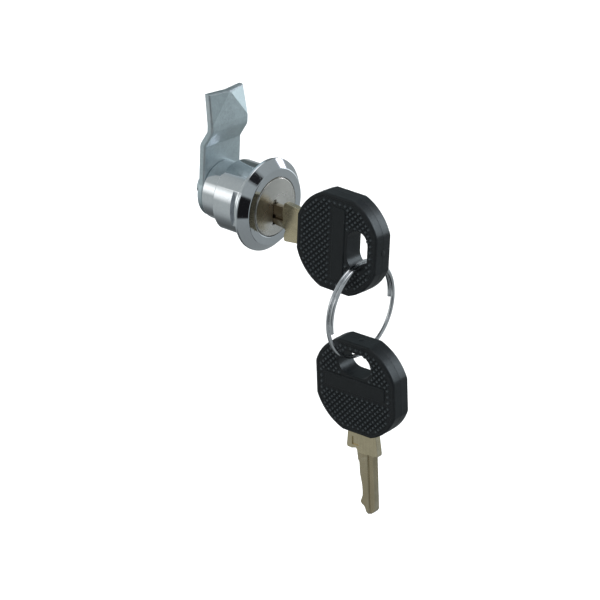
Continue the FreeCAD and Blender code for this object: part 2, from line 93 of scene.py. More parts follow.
def colour(name, description, red, green, blue):
    return bpy.props.FloatVectorProperty(
        name=name, description=description, default=(red, green, blue, 1.0),
        min=0.0, max=1.0, size=4, subtype="COLOR")


class HousingSizes(bpy.types.PropertyGroup):
    """Sizes of the chromed housing."""
    flange_radius: length("Flange radius", "Radius of the flange that seats on the door", 14.0)
    flange_rim: length("Flange rim", "Straight height of the flange's rim", 0.9)
    flange_height: length("Flange height", "From the door to the front of the housing", 3.45)
    land_radius: length("Land radius", "Outside of the flat ring at the front", 11.6)
    mouth_radius: length("Mouth radius", "Inside of the flat ring at the front", 9.05)
    body_radius: length("Body radius", "Radius of the front part of the body", 11.2)
    body_length: length("Body length", "Length of the front part of the body", 11.0)
    band_depth: length("Band depth", "How far the top and bottom bands lie back", 0.45)
    band_angle: turn("Band angle", "Width of each band round the axis", 83.6)
    rear_radius: length("Rear radius", "Radius of the rear part of the body", 9.0)
    full_length: length("Length", "From the door to the back of the housing", 17.2)
    slot_floor: length("Clip slot floor", "Distance of the clip slots' floors from the axis", 9.8)
    slot_start: length("Clip slot start", "Front side of the clip slots", 2.6)
    slot_width: length("Clip slot width", "Width of the clip slots", 1.6)
    bore_radius: length("Bore radius", "Radius of the bore for the plug", 6.65)
    break_edge: length("Edge rounding", "Rounding of the polished edges", 0.22)


class CamSizes(bpy.types.PropertyGroup):
    """Sizes of the cam and of what holds it."""
    thickness: length("Thickness", "Thickness of the cam's plate", 2.0)
    half_width: length("Half width", "Half of the cam's width", 8.0)
    hub_radius: length("Hub radius", "Radius of the round end", 8.6)
    hole: length("Square hole", "Side of the hole for the tang", 7.3)
    crank_start: length("Crank start", "Height where the crank starts", 14.9)
    crank_end: length("Crank end", "Height where the crank ends", 19.3)
    crank_step: length("Crank step", "How far the crank brings the cam forward", 2.65)
    tip_start: length("Tip start", "Height where the folded tip starts", 21.7)
    tip_top: length("Tip top", "Height of the tip's end face", 31.0)
    tip_half_width: length("Tip half width", "Half of the width at the tip's end", 7.5)
    bend_radius: length("Bend radius", "Radius of the bends at the middle of the plate", 2.2)
    break_edge: length("Edge rounding", "Rounding of the cam's front edges", 0.65)
    screw_flats: length("Screw width", "Width over the flats of the screw's head", 8.0)
    washer_radius: length("Washer radius", "Radius of the washer", 5.3)


class KeySizes(bpy.types.PropertyGroup):
    """Sizes of the two keys and of the ring."""
    head_radius: length("Head radius", "Radius of the moulded head", 15.6)
    head_flats: length("Head flats", "Distance of the head's four flats from its middle", 14.7)
    head_thickness: length("Head thickness", "Thickness of the head over its rim", 6.7)
    head_rounding: length("Head rounding", "Rounding of the head's rim", 0.6)
    field_sunk: length("Field depth", "How far the floor of the knurled field lies under the rim", 0.12)
    rim_width: length("Rim width", "Width of the plain rim round the knurled field", 1.1)
    knurl_along: length("Knurl along", "Half a diamond of the knurl along the key", 0.97)
    knurl_across: length("Knurl across", "Half a diamond of the knurl across the key", 0.95)
    knurl_height: length("Knurl height", "Height of the knurl's pyramids", 0.42)
    blade_thickness: length("Blade thickness", "Thickness of the blades", 2.0)
    ring_radius: length("Ring radius", "Radius of the ring to the middle of its wire", 14.3)
    ring_wire: length("Ring wire", "Thickness of the ring's wire", 1.2)
    ring_pitch: length("Ring pitch", "Distance between two turns of the ring", 1.25)
    ring_end: turn("Ring end", "Where the ring's front end lies, from +X upwards", 193.0)
    ring_turns: bpy.props.FloatProperty(name="Ring turns", description="Turns of the ring's wire", default=1.54)
    spare_round_ring: turn("Spare key's lean", "How far the spare key swings from the vertical", 4.45)
    spare_pitch: turn("Spare key's pitch", "How far the spare key leans away from the lock", 1.7)


class Finishes(bpy.types.PropertyGroup):
    """Colours of the metals and the plastic."""
    chrome: colour("Chrome", "Polished chrome of the housing", 0.80, 0.83, 0.86)
    zinc: colour("Zinc plating", "Bluish plating of the cam, screw and washer", 0.66, 0.76, 0.80)
    satin: colour("Satin nickel", "Face plate in front of the plug", 0.86, 0.83, 0.78)
    plug: colour("Plug nickel", "Nickel of the plug behind the face plate", 0.55, 0.53, 0.50)
    blade: colour("Nickel silver", "Metal of the key blades", 0.78, 0.67, 0.45)
    ring: colour("Ring steel", "Bright steel of the split ring", 0.80, 0.81, 0.83)
    wafer: colour("Brass", "Brass of the wafers", 0.74, 0.56, 0.27)
    spring: colour("Spring steel", "Steel of the springs and the circlip", 0.47, 0.47, 0.48)
    plastic: colour("Black plastic", "Moulded plastic of the key heads", 0.0052, 0.0065, 0.0074)


class StageSizes(bpy.types.PropertyGroup):
    """View of the camera and place of the floor."""
    view_angle: turn("View angle", "Camera's angle of view", 10.915)
    floor_drop: length("Floor drop", "How far the floor lies under the lock's axis", 250.0)


def measures(settings):
    """A settings group with its distances in millimetres and its other values as they are."""
    values = {}
    for key, prop in settings.bl_rna.properties.items():
        if key not in ("rna_type", "name"):
            value = getattr(settings, key)
            values[key] = value / MM if prop.subtype == "DISTANCE" else value
    return SimpleNamespace(**values)


# ---------------------------------------------------------------- outlines and meshes

def arc(centre, radius, start, end, steps):
    """Points of an arc, angles in degrees."""
    for step in range(steps + 1):
        angle = math.radians(start + (end - start) * step / steps)
        yield (centre[0] + radius * math.cos(angle), centre[1] + radius * math.sin(angle))


def inset(points, distance):
    """A closed outline moved to its left side, which is the material's side."""
    moved = []
    count = len(points)
    for index, point in enumerate(points):
        here = Vector(point)
        before = (here - Vector(points[index - 1])).normalized()
        after = (Vector(points[(index + 1) % count]) - here).normalized()
        side = Vector((-before.y - after.y, before.x + after.x))
        side.normalize()
        reach = max(0.35, side.dot(Vector((-before.y, before.x))))
        moved.append(tuple(here + side * (distance / reach)))
    return moved


def rounded_levels(low, high, edge, steps=4, top_edge=None):
    """Heights and insets of a wall with two rounded edges, the upper one by top_edge where given."""
    upper = edge if top_edge is None else top_edge
    quarter = [math.pi / 2 * step / steps for step in range(steps + 1)]
    bottom = [(low + edge * (1 - math.cos(t)), edge * (1 - math.sin(t))) for t in quarter]
    top = [(high - upper * (1 - math.cos(t)), upper * (1 - math.sin(t))) for t in reversed(quarter)]
    return bottom + top


def wall(mesh, outline, levels):
    """Joins copies of an outline at the given heights and insets, and returns the end loops' edges."""
    loops = []
    for height, distance in levels:
        ring = inset(outline, distance) if distance else outline
        loops.append([mesh.verts.new((x, y, height)) for x, y in ring])
    count = len(outline)
    for lower, upper in zip(loops, loops[1:]):
        for index in range(count):
            after = (index + 1) % count
            mesh.faces.new((lower[index], lower[after], upper[after], upper[index]))
    ends = (loops[0], loops[-1])
    return [[mesh.edges.get((loop[i], loop[(i + 1) % count])) for i in range(count)] for loop in ends]


def add_plate(mesh, outline, holes, levels, hole_levels=None):
    """Adds a flat plate to a mesh: the outline runs anticlockwise, the holes clockwise."""
    ends = [wall(mesh, outline, levels)]
    ends += [wall(mesh, hole, hole_levels or levels) for hole in holes]
    for side in (0, 1):
        edges = [edge for pair in ends for edge in pair[side]]
        bmesh.ops.triangle_fill(mesh, use_beauty=True, use_dissolve=False, edges=edges)
    return mesh


def soften(points, radius, steps=4):
    """A closed line with rounded corners: points are (r, y, kind, round or not)."""
    result = []
    count = len(points)
    for index, (r, y, kind, is_round) in enumerate(points):
        here = Vector((r, y))
        if not is_round:
            result.append((r, y, kind))
            continue
        before = Vector(points[index - 1][:2]) - here
        after = Vector(points[(index + 1) % count][:2]) - here
        start = here + before.normalized() * min(radius, before.length * 0.45)
        end = here + after.normalized() * min(radius, after.length * 0.45)
        for step in range(steps + 1):
            t = step / steps
            spot = start * (1 - t) ** 2 + here * 2 * t * (1 - t) + end * t ** 2
            result.append((spot.x, spot.y, kind))
    return result


def plain_radius(r, kind, angle):
    return r


def turned_mesh(profile, angles, radius_at=plain_radius, closed=True):
    """A mesh of a profile turned about the lock's axis, whose radius may change round it."""
    mesh = bmesh.new()
    rows = []
    for angle in angles:
        row = []
        for r, y, kind in profile:
            radius = radius_at(r, kind, angle)
            row.append(mesh.verts.new((radius * math.cos(angle), y, radius * math.sin(angle))))
        rows.append(row)
    last = len(profile) if closed else len(profile) - 1
    for row, after in zip(rows, rows[1:] + rows[:1]):
        for index in range(last):
            nxt = (index + 1) % len(profile)
            mesh.faces.new((row[index], row[nxt], after[nxt], after[index]))
    return mesh


def round_angles(steps, extra=()):
    """Angles round the axis in radians: even steps and some of their own, in degrees."""
    even = [360 * step / steps for step in range(steps)]
    degrees = sorted({round(value % 360, 4) for value in even + list(extra)})
    kept = [degrees[0]]
    for value in degrees[1:]:
        if value - kept[-1] > 0.02:
            kept.append(value)
    return [math.radians(value) for value in kept]


def split_at(mesh, spot, normal):
    """Cuts the mesh's faces along a plane, and returns the new edges and points."""
    parts = mesh.verts[:] + mesh.edges[:] + mesh.faces[:]
    return bmesh.ops.bisect_plane(mesh, geom=parts, dist=1e-5, plane_co=spot, plane_no=normal)["geom_cut"]


def shown_mesh(item):
    """The object's mesh with its modifiers applied."""
    graph = bpy.context.evaluated_depsgraph_get()
    return bpy.data.meshes.new_from_object(
        item.evaluated_get(graph), preserve_all_data_layers=True, depsgraph=graph)


def put_in_scene(name, data):
    item = bpy.data.objects.new(name, data)
    bpy.context.scene.collection.objects.link(item)
    return item


def as_data(mesh, name):
    """The mesh as data for an object; the mesh itself is freed."""
    data = bpy.data.meshes.new(name)
    mesh.to_mesh(data)
    mesh.free()
    return data


def close_mesh(mesh, name, place, sharp):
    """Merges, turns the faces outwards, places and smooths a mesh, and returns it as data."""
    bmesh.ops.remove_doubles(mesh, verts=mesh.verts, dist=0.002)
    bmesh.ops.recalc_face_normals(mesh, faces=mesh.faces)
    mesh.transform(place)
    for face in mesh.faces:
        face.smooth = True
    limit = math.radians(sharp)
    for edge in mesh.edges:
        if len(edge.link_faces) == 2 and edge.calc_face_angle(0.0) > limit:
            edge.smooth = False
    return as_data(mesh, name)


def finish_piece(name, data, material, body, slot, *nodes):
    """Puts a placed mesh in the scene with its material, on its body and in place of its nodes of the frame."""
    item = put_in_scene(name, data)
    modifier = item.modifiers.new("Even shading", "WEIGHTED_NORMAL")
    modifier.keep_sharp = True
    even = shown_mesh(item)
    item.modifiers.remove(modifier)
    item.data = even
    even.name = name
    even.materials.clear()
    even.materials.append(material)
    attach(item, body)
    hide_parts(*nodes)
    return item


def box_of(node):
    """Low and high corner of a node of the frame, in millimetres."""
    return [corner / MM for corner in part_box(node)]


def in_metres(axes=Matrix.Identity(4)):
    """The place in the scene of a piece that is drawn in millimetres on the given axes."""
    return Matrix.Scale(MM, 4) @ axes


def close_and_finish(name, mesh, place, material, body, slot, node, sharp=32.0):
    """Makes a piece of a mesh: see close_mesh and finish_piece."""
    return finish_piece(name, close_mesh(mesh, name, place, sharp), material, body, slot, node)


# ---------------------------------------------------------------- node trees

def put(tree, kind, options=None, **inputs):
    """Adds a node. Options are its settings; inputs are values or sockets, by name or by number after i."""
    node = tree.nodes.new(kind)
    node.location = (190 * (len(tree.nodes) % 12), -170 * (len(tree.nodes) // 12))
    for key, value in (options or {}).items():
        setattr(node, key, value)
    for key, value in inputs.items():
        socket = node.inputs[int(key[1:]) if key[1:].isdigit() else key.replace("_", " ")]
        if isinstance(value, bpy.types.NodeSocket):
            tree.links.new(value, socket)
        else:
            socket.default_value = value
    return node


def math_node(tree, operation, first, second=0.0, third=0.0):
    return put(tree, "ShaderNodeMath", {"operation": operation}, i0=first, i1=second, i2=third).outputs[0]


def times(tree, first, second):
    return math_node(tree, "MULTIPLY", first, second)


def plus(tree, value, mask, share):
    """A value with a share of a mask added to it."""
    return math_node(tree, "MULTIPLY_ADD", mask, share, value)


def remap(tree, value, from_low, from_high, to_low=0.0, to_high=1.0, smooth=False):
    options = {"interpolation_type": "SMOOTHSTEP" if smooth else "LINEAR"}
    node = put(tree, "ShaderNodeMapRange", options, Value=value, From_Min=from_low, From_Max=from_high,
               To_Min=to_low, To_Max=to_high)
    return node.outputs["Result"]


def mix_colour(tree, factor, first, second):
    return put(tree, "ShaderNodeMix", {"data_type": "RGBA"}, i0=factor, i6=first, i7=second).outputs[2]


def touch_up(tree, mask, share, tone, over):
    """Lays a second colour over a tone by a share of a mask."""
    return mix_colour(tree, times(tree, mask, share), tone, over)


def own_place(tree):
    return put(tree, "ShaderNodeTexCoord").outputs["Object"]


def noise(tree, place, scale, detail, roughness=0.5):
    node = put(tree, "ShaderNodeTexNoise", Vector=place, Scale=scale, Detail=detail, Roughness=roughness)
    return node.outputs


def new_group(name, inputs, outputs, kind="ShaderNodeTree"):
    """A node group, its inputs and a function that joins its outputs; sockets by their default or type."""
    tree = bpy.data.node_groups.new(name, kind)
    types = {float: "Float", int: "Int", tuple: "Vector"}
    for label, default in inputs.items():
        typed = default if isinstance(default, str) else types[type(default)]
        socket = tree.interface.new_socket(name=label, in_out="INPUT", socket_type="NodeSocket" + typed)
        if typed != default:
            socket.default_value = default
    for label, typed in outputs.items():
        tree.interface.new_socket(name=label, in_out="OUTPUT", socket_type="NodeSocket" + typed)
    entry = tree.nodes.new("NodeGroupInput")
    leave = tree.nodes.new("NodeGroupOutput")

    def give(**values):
        for label, value in values.items():
            tree.links.new(value, leave.inputs[label])
        return tree
    return tree, entry.outputs, give


def fine_grain():
    """Small grain and broad clouds of a surface, from its own place on the object."""
    tree, given, give = new_group("Fine grain", {"Scale": 900.0, "Cloud Scale": 90.0, "Cloud Share": 0.4},
                                  {"Height": "Float", "Tone": "Float"})
    place = own_place(tree)
    grain = noise(tree, place, given["Scale"], detail=4.0, roughness=0.6)["Fac"]
    cloud = noise(tree, place, given["Cloud Scale"], detail=3.0, roughness=0.55)["Fac"]
    keep = math_node(tree, "SUBTRACT", 1.0, given["Cloud Share"])
    small = times(tree, remap(tree, grain, 0.3, 0.7), keep)
    return give(Height=grain, Tone=plus(tree, small, remap(tree, cloud, 0.3, 0.7), given["Cloud Share"]))


def brushed():
    """Fine lines of a brushed or rolled surface, long in the direction where the stretch is small."""
    tree, given, give = new_group(
        "Brushed lines", {"Stretch": (1.0, 1.0, 0.03), "Turn": (0.0, 0.0, 0.0), "Scale": 2500.0},
        {"Height": "Float", "Tone": "Float"})
    turned = put(tree, "ShaderNodeMapping", {"vector_type": "POINT"}, Vector=own_place(tree),
                 Rotation=given["Turn"], Scale=(1.0, 1.0, 1.0))
    along = put(tree, "ShaderNodeVectorMath", {"operation": "MULTIPLY"}, i0=turned.outputs[0],
                i1=given["Stretch"])
    lines = noise(tree, along.outputs[0], given["Scale"], detail=3.0, roughness=0.7)["Fac"]
    return give(Height=lines, Tone=remap(tree, lines, 0.3, 0.7))


def edge_wear():
    """A mask of the outer edges, broken up by small patches."""
    tree, given, give = new_group("Edge wear", {"Start": 0.52, "Full": 0.6, "Patch Scale": 500.0},
                                  {"Mask": "Float"})
    point = put(tree, "ShaderNodeNewGeometry").outputs["Pointiness"]
    edge = remap(tree, point, given["Start"], given["Full"], smooth=True)
    patch = noise(tree, own_place(tree), given["Patch Scale"], detail=3.0)["Fac"]
    return give(Mask=times(tree, edge, remap(tree, patch, 0.35, 0.6, 0.35, 1.0)))


def hairlines():
    """Thin handling scratches and faint smears on a polished surface."""
    tree, given, give = new_group("Handling marks", {"Scale": 160.0, "Width": 0.02},
                                  {"Mask": "Float", "Smear": "Float"})
    place = own_place(tree)
    shift = put(tree, "ShaderNodeVectorMath", {"operation": "MULTIPLY_ADD"},
                i0=noise(tree, place, scale=120.0, detail=1.0)["Color"], i1=(0.004, 0.004, 0.004), i2=place)
    cells = put(tree, "ShaderNodeTexVoronoi", {"feature": "DISTANCE_TO_EDGE"}, Vector=shift.outputs[0],
                Scale=given["Scale"])
    line = remap(tree, cells.outputs["Distance"], 0.0, given["Width"], 1.0, 0.0)
    some = remap(tree, noise(tree, place, scale=260.0, detail=2.0)["Fac"], 0.5, 0.62)
    smear = remap(tree, noise(tree, place, scale=70.0, detail=3.0)["Fac"], 0.35, 0.65)
    return give(Mask=times(tree, line, some), Smear=smear)


def use_group(tree, name, maker, **inputs):
    """Puts a shared group in the tree, made on its first use, and returns its outputs."""
    group = bpy.data.node_groups.get(name) or maker()
    return put(tree, "ShaderNodeGroup", {"node_tree": group}, **inputs).outputs


def grain_of(tree, scale, cloud_scale, cloud_share):
    return use_group(tree, "Fine grain", fine_grain, Scale=scale, Cloud_Scale=cloud_scale,
                     Cloud_Share=cloud_share)


def marks_of(tree, scale, width):
    return use_group(tree, "Handling marks", hairlines, Scale=scale, Width=width)


def wear_of(tree, start, full, patch_scale):
    mask = use_group(tree, "Edge wear", edge_wear, Start=start, Full=full, Patch_Scale=patch_scale)
    return mask["Mask"]


def new_material(name, **constants):
    """A material with its Principled shader; constants are set on the shader's own sockets."""
    material = bpy.data.materials.new(name)
    material.use_nodes = True
    tree = material.node_tree
    tree.nodes.clear()
    shader = tree.nodes.new("ShaderNodeBsdfPrincipled")
    shader.location = (2500, 0)
    for key, value in constants.items():
        shader.inputs[key.replace("_", " ")].default_value = value
    output = tree.nodes.new("ShaderNodeOutputMaterial")
    output.location = (2800, 0)
    tree.links.new(shader.outputs[0], output.inputs["Surface"])
    return material, tree, shader


def tint(base, amount):
    """A colour made paler or darker."""
    return tuple(min(1.0, channel * amount) for channel in base[:3]) + (1.0,)


def new_finish(name, base, grain, dark, pale, **constants):
    """A material whose tone runs from a darker to a paler shade of its colour. Grain is what grain_of takes."""
    material, tree, shader = new_material(name, **constants)
    skin = grain_of(tree, *grain)
    return material, tree, shader, skin, mix_colour(tree, skin["Tone"], tint(base, dark), tint(base, pale))


def dress(material, shader, tone, rough, height, strength, distance):
    """Joins a colour, a roughness and a bump to the material's shader, and returns the material."""
    tree = material.node_tree
    bump = put(tree, "ShaderNodeBump", Strength=strength, Distance=distance, Height=height)
    for socket, value in (("Base Color", tone), ("Roughness", rough), ("Normal", bump.outputs[0])):
        tree.links.new(value, shader.inputs[socket])
    return material


def chrome_material(name, base):
    """Polished chrome with faint handling marks."""
    material, tree, shader, grain, tone = new_finish(
        name, base, (1400.0, 120.0, 0.5), dark=0.93, pale=1.04, Metallic=1.0, IOR=2.5)
    marks = marks_of(tree, scale=190.0, width=0.018)
    rough = plus(tree, remap(tree, marks["Smear"], 0.0, 1.0, 0.05, 0.11), marks["Mask"], 0.12)
    return dress(material, shader, tone, rough, grain["Height"], strength=0.12, distance=0.00002)


def zinc_material(name, base):
    """Bluish plating with small crystals, rubbed bright on its edges."""
    material, tree, shader, grain, tone = new_finish(
        name, base, (1500.0, 150.0, 0.6), dark=0.86, pale=1.12, Metallic=1.0)
    flecks = put(tree, "ShaderNodeTexVoronoi", Vector=own_place(tree), Scale=1300.0)
    fleck = put(tree, "ShaderNodeSeparateColor", Color=flecks.outputs["Color"]).outputs[0]
    tone = touch_up(tree, fleck, 0.3, tone, tint(base, 1.3))
    wear = wear_of(tree, start=0.515, full=0.57, patch_scale=600.0)
    tone = touch_up(tree, wear, 0.5, tone, (0.86, 0.88, 0.9, 1.0))
    rough = plus(tree, remap(tree, grain["Tone"], 0.0, 1.0, 0.26, 0.38), fleck, 0.10)
    wavy = grain_of(tree, scale=420.0, cloud_scale=150.0, cloud_share=0.5)
    height = plus(tree, grain["Height"], wavy["Height"], 2.0)
    return dress(material, shader, tone, rough, height, strength=0.4, distance=0.00006)


def satin_material(name, base, roughness, spacing):
    """Turned nickel: fine rings round the lock's axis."""
    material, tree, shader, grain, tone = new_finish(
        name, base, (1800.0, 160.0, 0.5), dark=0.88, pale=1.08, Metallic=1.0)
    marks = marks_of(tree, scale=300.0, width=0.03)
    rings = put(tree, "ShaderNodeTexWave", {"wave_type": "RINGS", "rings_direction": "Y"},
                Vector=own_place(tree), Scale=1.0 / spacing, Distortion=0.6, Detail=2.0, Detail_Scale=3.0)
    tone = touch_up(tree, marks["Mask"], 0.35, tone, tint(base, 1.4))
    rough = remap(tree, marks["Smear"], 0.0, 1.0, roughness - 0.05, roughness + 0.06)
    height = plus(tree, grain["Height"], rings.outputs["Fac"], 0.6)
    return dress(material, shader, tone, rough, height, strength=0.3, distance=0.00003)


def blade_material(name, base, turned, stretch, painted_shade):
    """Nickel silver with the lines of its rolling along the key, bright cut edges and painted shade that
    darkens its milled part.
    """
    material, tree, shader, grain, tone = new_finish(
        name, base, (1500.0, 140.0, 0.7), dark=0.68, pale=1.04, Metallic=1.0)
    lines = use_group(tree, "Brushed lines", brushed, Stretch=stretch, Turn=turned, Scale=2200.0)
    wear = wear_of(tree, start=0.51, full=0.58, patch_scale=450.0)
    milled = put(tree, "ShaderNodeAttribute", {"attribute_name": "milled"}).outputs["Fac"]
    tone = touch_up(tree, lines["Tone"], 0.35, tone, tint(base, 1.2))
    # Painted shade: the milled part of the blade is darkened towards dark brown by the given share.
    tone = touch_up(tree, milled, painted_shade, tone, (0.28, 0.21, 0.13, 1.0))
    tone = touch_up(tree, wear, 0.7, tone, (0.88, 0.82, 0.66, 1.0))
    rough = plus(tree, remap(tree, grain["Tone"], 0.0, 1.0, 0.20, 0.32), wear, -0.08)
    return dress(material, shader, tone, rough, lines["Height"], strength=0.3, distance=0.00005)


def plastic_material(name, base):
    """Moulded black plastic with a fine skin, faint paler rubbing on its edges and a painted highlight on the
    knurl's tips.
    """
    material, tree, shader, grain, tone = new_finish(
        name, base, (2600.0, 170.0, 0.6), dark=0.75, pale=1.3, Metallic=0.0, IOR=1.5, Specular_IOR_Level=0.26)
    marks = marks_of(tree, scale=260.0, width=0.03)
    wear = wear_of(tree, start=0.53, full=0.62, patch_scale=380.0)
    streaks = use_group(tree, "Brushed lines", brushed, Stretch=(0.06, 1.0, 1.0), Scale=1100.0)
    tone = touch_up(tree, marks["Mask"], 0.25, tone, tint(base, 3.0))
    tone = touch_up(tree, streaks["Tone"], 0.5, tone, tint(base, 1.8))
    # Painted highlight: the knurl's tips are drawn paler and less rough; the paler edges beside them are real
    # wear.
    rubbed = put(tree, "ShaderNodeAttribute", {"attribute_name": "rubbed"}).outputs["Fac"]
    tips = remap(tree, rubbed, 0.55, 1.0)
    wear_and_tip_highlight = math_node(tree, "MAXIMUM", times(tree, wear, 0.4), tips)
    tone = mix_colour(tree, wear_and_tip_highlight, tone, (0.038, 0.045, 0.049, 1.0))
    rough = plus(tree, remap(tree, grain["Tone"], 0.0, 1.0, 0.28, 0.42), wear_and_tip_highlight, -0.05)
    height = plus(tree, grain["Height"], streaks["Height"], 1.5)
    return dress(material, shader, tone, rough, height, strength=0.3, distance=0.00003)


def wire_material(name, base, roughness):
    """Drawn steel wire with faint marks."""
    material, tree, shader, grain, tone = new_finish(
        name, base, (1600.0, 200.0, 0.5), dark=0.84, pale=1.1, Metallic=1.0)
    marks = marks_of(tree, scale=420.0, width=0.05)
    rough = remap(tree, grain["Tone"], 0.0, 1.0, roughness, roughness + 0.06)
    rough = plus(tree, rough, marks["Mask"], 0.06)
    return dress(material, shader, tone, rough, grain["Height"], strength=0.06, distance=0.00003)


# What makes a finish, the colour it takes from the settings, and what its maker takes besides
FINISHES = {
    "Polished chrome": (chrome_material, "chrome"),
    "Dull chrome": (wire_material, "chrome", 0.42),
    "Zinc plated steel": (zinc_material, "zinc"),
    "Satin nickel": (satin_material, "satin", 0.24, 0.0004),
    "Plug nickel": (satin_material, "plug", 0.3, 0.0007),
    "Ring steel": (wire_material, "ring", 0.08),
    "Wafer brass": (wire_material, "wafer", 0.25),
    "Spring steel": (wire_material, "spring", 0.22),
    "Black plastic": (plastic_material, "plastic"),
}


def finish_of(name):
    """A finish by its name, made on its first use."""
    maker, base, *values = FINISHES[name]
    settings = bpy.context.scene.lock_finishes
    return bpy.data.materials.get(name) or maker(name, getattr(settings, base), *values)


# ---------------------------------------------------------------- pieces of the lock

# How far from the middle a clip slot's floor can reach upwards
SLOT_HALF_HEIGHT = 5.5
# Inside of the housing: recess at the back, grooves that the wafers lock in, and room for the plug's stop
RECESS_RADIUS, RECESS_START = 8.1, 15.9
GROOVE_START, GROOVE_END = 1.15, 12.4
GROOVE_HALF_HEIGHT, GROOVE_HALF_WIDTH, GROOVE_CORNERS = 7.35, 3.3, (24.18, 29.7)
STOP_START, STOP_RADIUS, STOP_HALF_ANGLE = -0.5, 8.25, 58


def housing_radius(size):
    """Radius of the housing round its axis, for each kind of surface on it."""
    band = size.band_angle / 2

    def radius_at(r, kind, angle):
        across, up = abs(math.cos(angle)), abs(math.sin(angle))
        if kind in ("body", "slot"):
            in_band = abs(math.atan2(across, up)) < band
            radius = r - size.band_depth if in_band else r
            return min(radius, size.slot_floor / max(across, 1e-6)) if kind == "slot" else radius
        if kind in ("groove", "stop"):
            radius = max(r, min(GROOVE_HALF_HEIGHT / max(up, 1e-6), GROOVE_HALF_WIDTH / max(across, 1e-6)))
            from_left = abs(math.degrees(angle) % 360 - 180)
            return max(radius, STOP_RADIUS) if kind == "stop" and from_left < STOP_HALF_ANGLE else radius
        return r
    return radius_at


class LOCK_OT_housing(bpy.types.Operator):
    """Make the chromed housing with its flange, bands and clip slots"""
    bl_idname = "lock.housing"
    bl_label = "Housing"

    def execute(self, context):
        size = measures(context.scene.lock_housing)
        front = -size.flange_height
        back = size.full_length
        slot_end = size.slot_start + size.slot_width
        mouth, body, bore = size.mouth_radius, size.body_radius, size.bore_radius
        profile = [
            (mouth, front, "", True),
            (size.land_radius, front, "", True),
            (size.flange_radius, -size.flange_rim, "", True),
            (size.flange_radius, 0.0, "", True),
            (body, 0.0, "body", False),
            (body, size.slot_start, "body", False),
            (body, size.slot_start, "slot", False),
            (body, slot_end, "slot", False),
            (body, slot_end, "body", False),
            (body, size.body_length, "body", True),
            (size.rear_radius, size.body_length, "", False),
            (size.rear_radius, back, "", True),
            (RECESS_RADIUS, back, "", True),
            (RECESS_RADIUS, RECESS_START, "", False),
            (bore, RECESS_START, "", True),
            (bore, GROOVE_END, "", False),
            (bore, GROOVE_END, "groove", False),
            (bore, GROOVE_START, "groove", False),
            (bore, GROOVE_START, "stop", False),
            (bore, STOP_START, "stop", False),
            (mouth, STOP_START, "", False),
        ]
        profile = soften(profile, size.break_edge)
        half = math.degrees(size.band_angle) / 2
        slot = math.degrees(math.acos(size.slot_floor / size.body_radius))
        upper_and_lower = [half - 0.25, half + 0.25, *GROOVE_CORNERS]
        edges = [middle + side * away for middle in (90, 270) for side in (-1, 1) for away in upper_and_lower]
        edges += [middle + side * slot for middle in (0, 180) for side in (-1, 1)]
        edges += [180 + side * (STOP_HALF_ANGLE + small) for side in (-1, 1) for small in (-0.2, 0.2)]
        mesh = turned_mesh(profile, round_angles(144, edges), housing_radius(size))
        shell = close_and_finish("lock_housing", mesh, in_metres(), finish_of("Polished chrome"), "housing",
                                 "chrome_housing", "housing")
        shell.data.materials.append(finish_of("Dull chrome"))
        deep = (size.slot_floor + size.body_radius) / 2 + 1
        for face in shell.data.polygons:
            across, along, up = face.center / MM
            cut = size.slot_start - 0.01 < along < slot_end + 0.01
            inside = math.hypot(across, up) < size.body_radius - 0.01
            if cut and inside and abs(across) < deep and abs(up) < SLOT_HALF_HEIGHT:
                face.material_index = 1
        return {"FINISHED"}


# The keyway in X and Z, clockwise, and how much smaller the face plate is drawn than its solid
KEYWAY = [(-1.1, -5.4), (-1.1, 2.35), (0.275, 2.35), (0.275, 1.25), (1.1, 1.25), (1.1, -5.4)]
PLATE_GAP = 0.16


class LOCK_OT_face_plate(bpy.types.Operator):
    """Make the satin face plate in front of the plug, with its keyway"""
    bl_idname = "lock.face_plate"
    bl_label = "Face plate"

    def execute(self, context):
        low, high = box_of("plug_face_plate")
        outline = list(arc((0, 0), (high.x - low.x) / 2 - PLATE_GAP, 0, 357, 119))
        edges = rounded_levels(-high.y, -low.y, edge=0.05, top_edge=0.24)
        mesh = add_plate(bmesh.new(), outline, [KEYWAY], edges,
                         rounded_levels(-high.y, -low.y, edge=0.07, steps=2))
        close_and_finish("face_plate", mesh, in_metres(FACING_KEY), finish_of("Satin nickel"), "plug",
                         "satin_nickel", "plug_face_plate")
        return {"FINISHED"}


def crank_path(size, along):
    """Place (y, z) on the middle of the cam's plate at a length along it, and the plate's lean there."""
    front = box_of("cam_washer")[0].y - size.thickness
    slope = math.atan2(size.crank_step, size.crank_end - size.crank_start)
    rise = math.tan(slope / 2)
    low = Vector((front + size.thickness / 2, size.crank_start + rise * size.thickness / 2))
    high = Vector((low.x - size.crank_step, low.y + size.crank_end - size.crank_start))
    cut = size.bend_radius * rise
    bend = size.bend_radius * slope
    straight = (high - low).length - 2 * cut
    up, tilted = Vector((0, 1)), (high - low).normalized()
    first = low.y - cut
    last = first + 2 * bend + straight

    def bent(angle):
        """How far a bend leads away from the straight part beside it."""
        return size.bend_radius * Vector((math.cos(angle) - 1, math.sin(angle)))

    if along <= first:
        return Vector((low.x, along)), 0.0
    if along <= first + bend:
        angle = (along - first) / size.bend_radius
        return low - up * cut + bent(angle), angle
    if along <= first + bend + straight:
        return low + tilted * (cut + along - first - bend), slope
    if along <= last:
        angle = (last - along) / size.bend_radius
        return high + up * cut - bent(angle), angle
    return high + up * (cut + along - last), 0.0


# The folded tip at its end: lean of its middle, bevel of its sides, and thickness there
TIP_LEAN, TIP_BEVEL = 0.55, 1.35
TIP_MIDDLE_THICKNESS, TIP_SIDE_THICKNESS = 2.3, 1.9
# Lengths along the flat cam where its faces are split, so that it can bend there
CAM_SPLITS = ([9.0, 12.0] + [14.2 + 0.25 * step for step in range(9)]
              + [18.0 + 0.3 * step for step in range(12)])


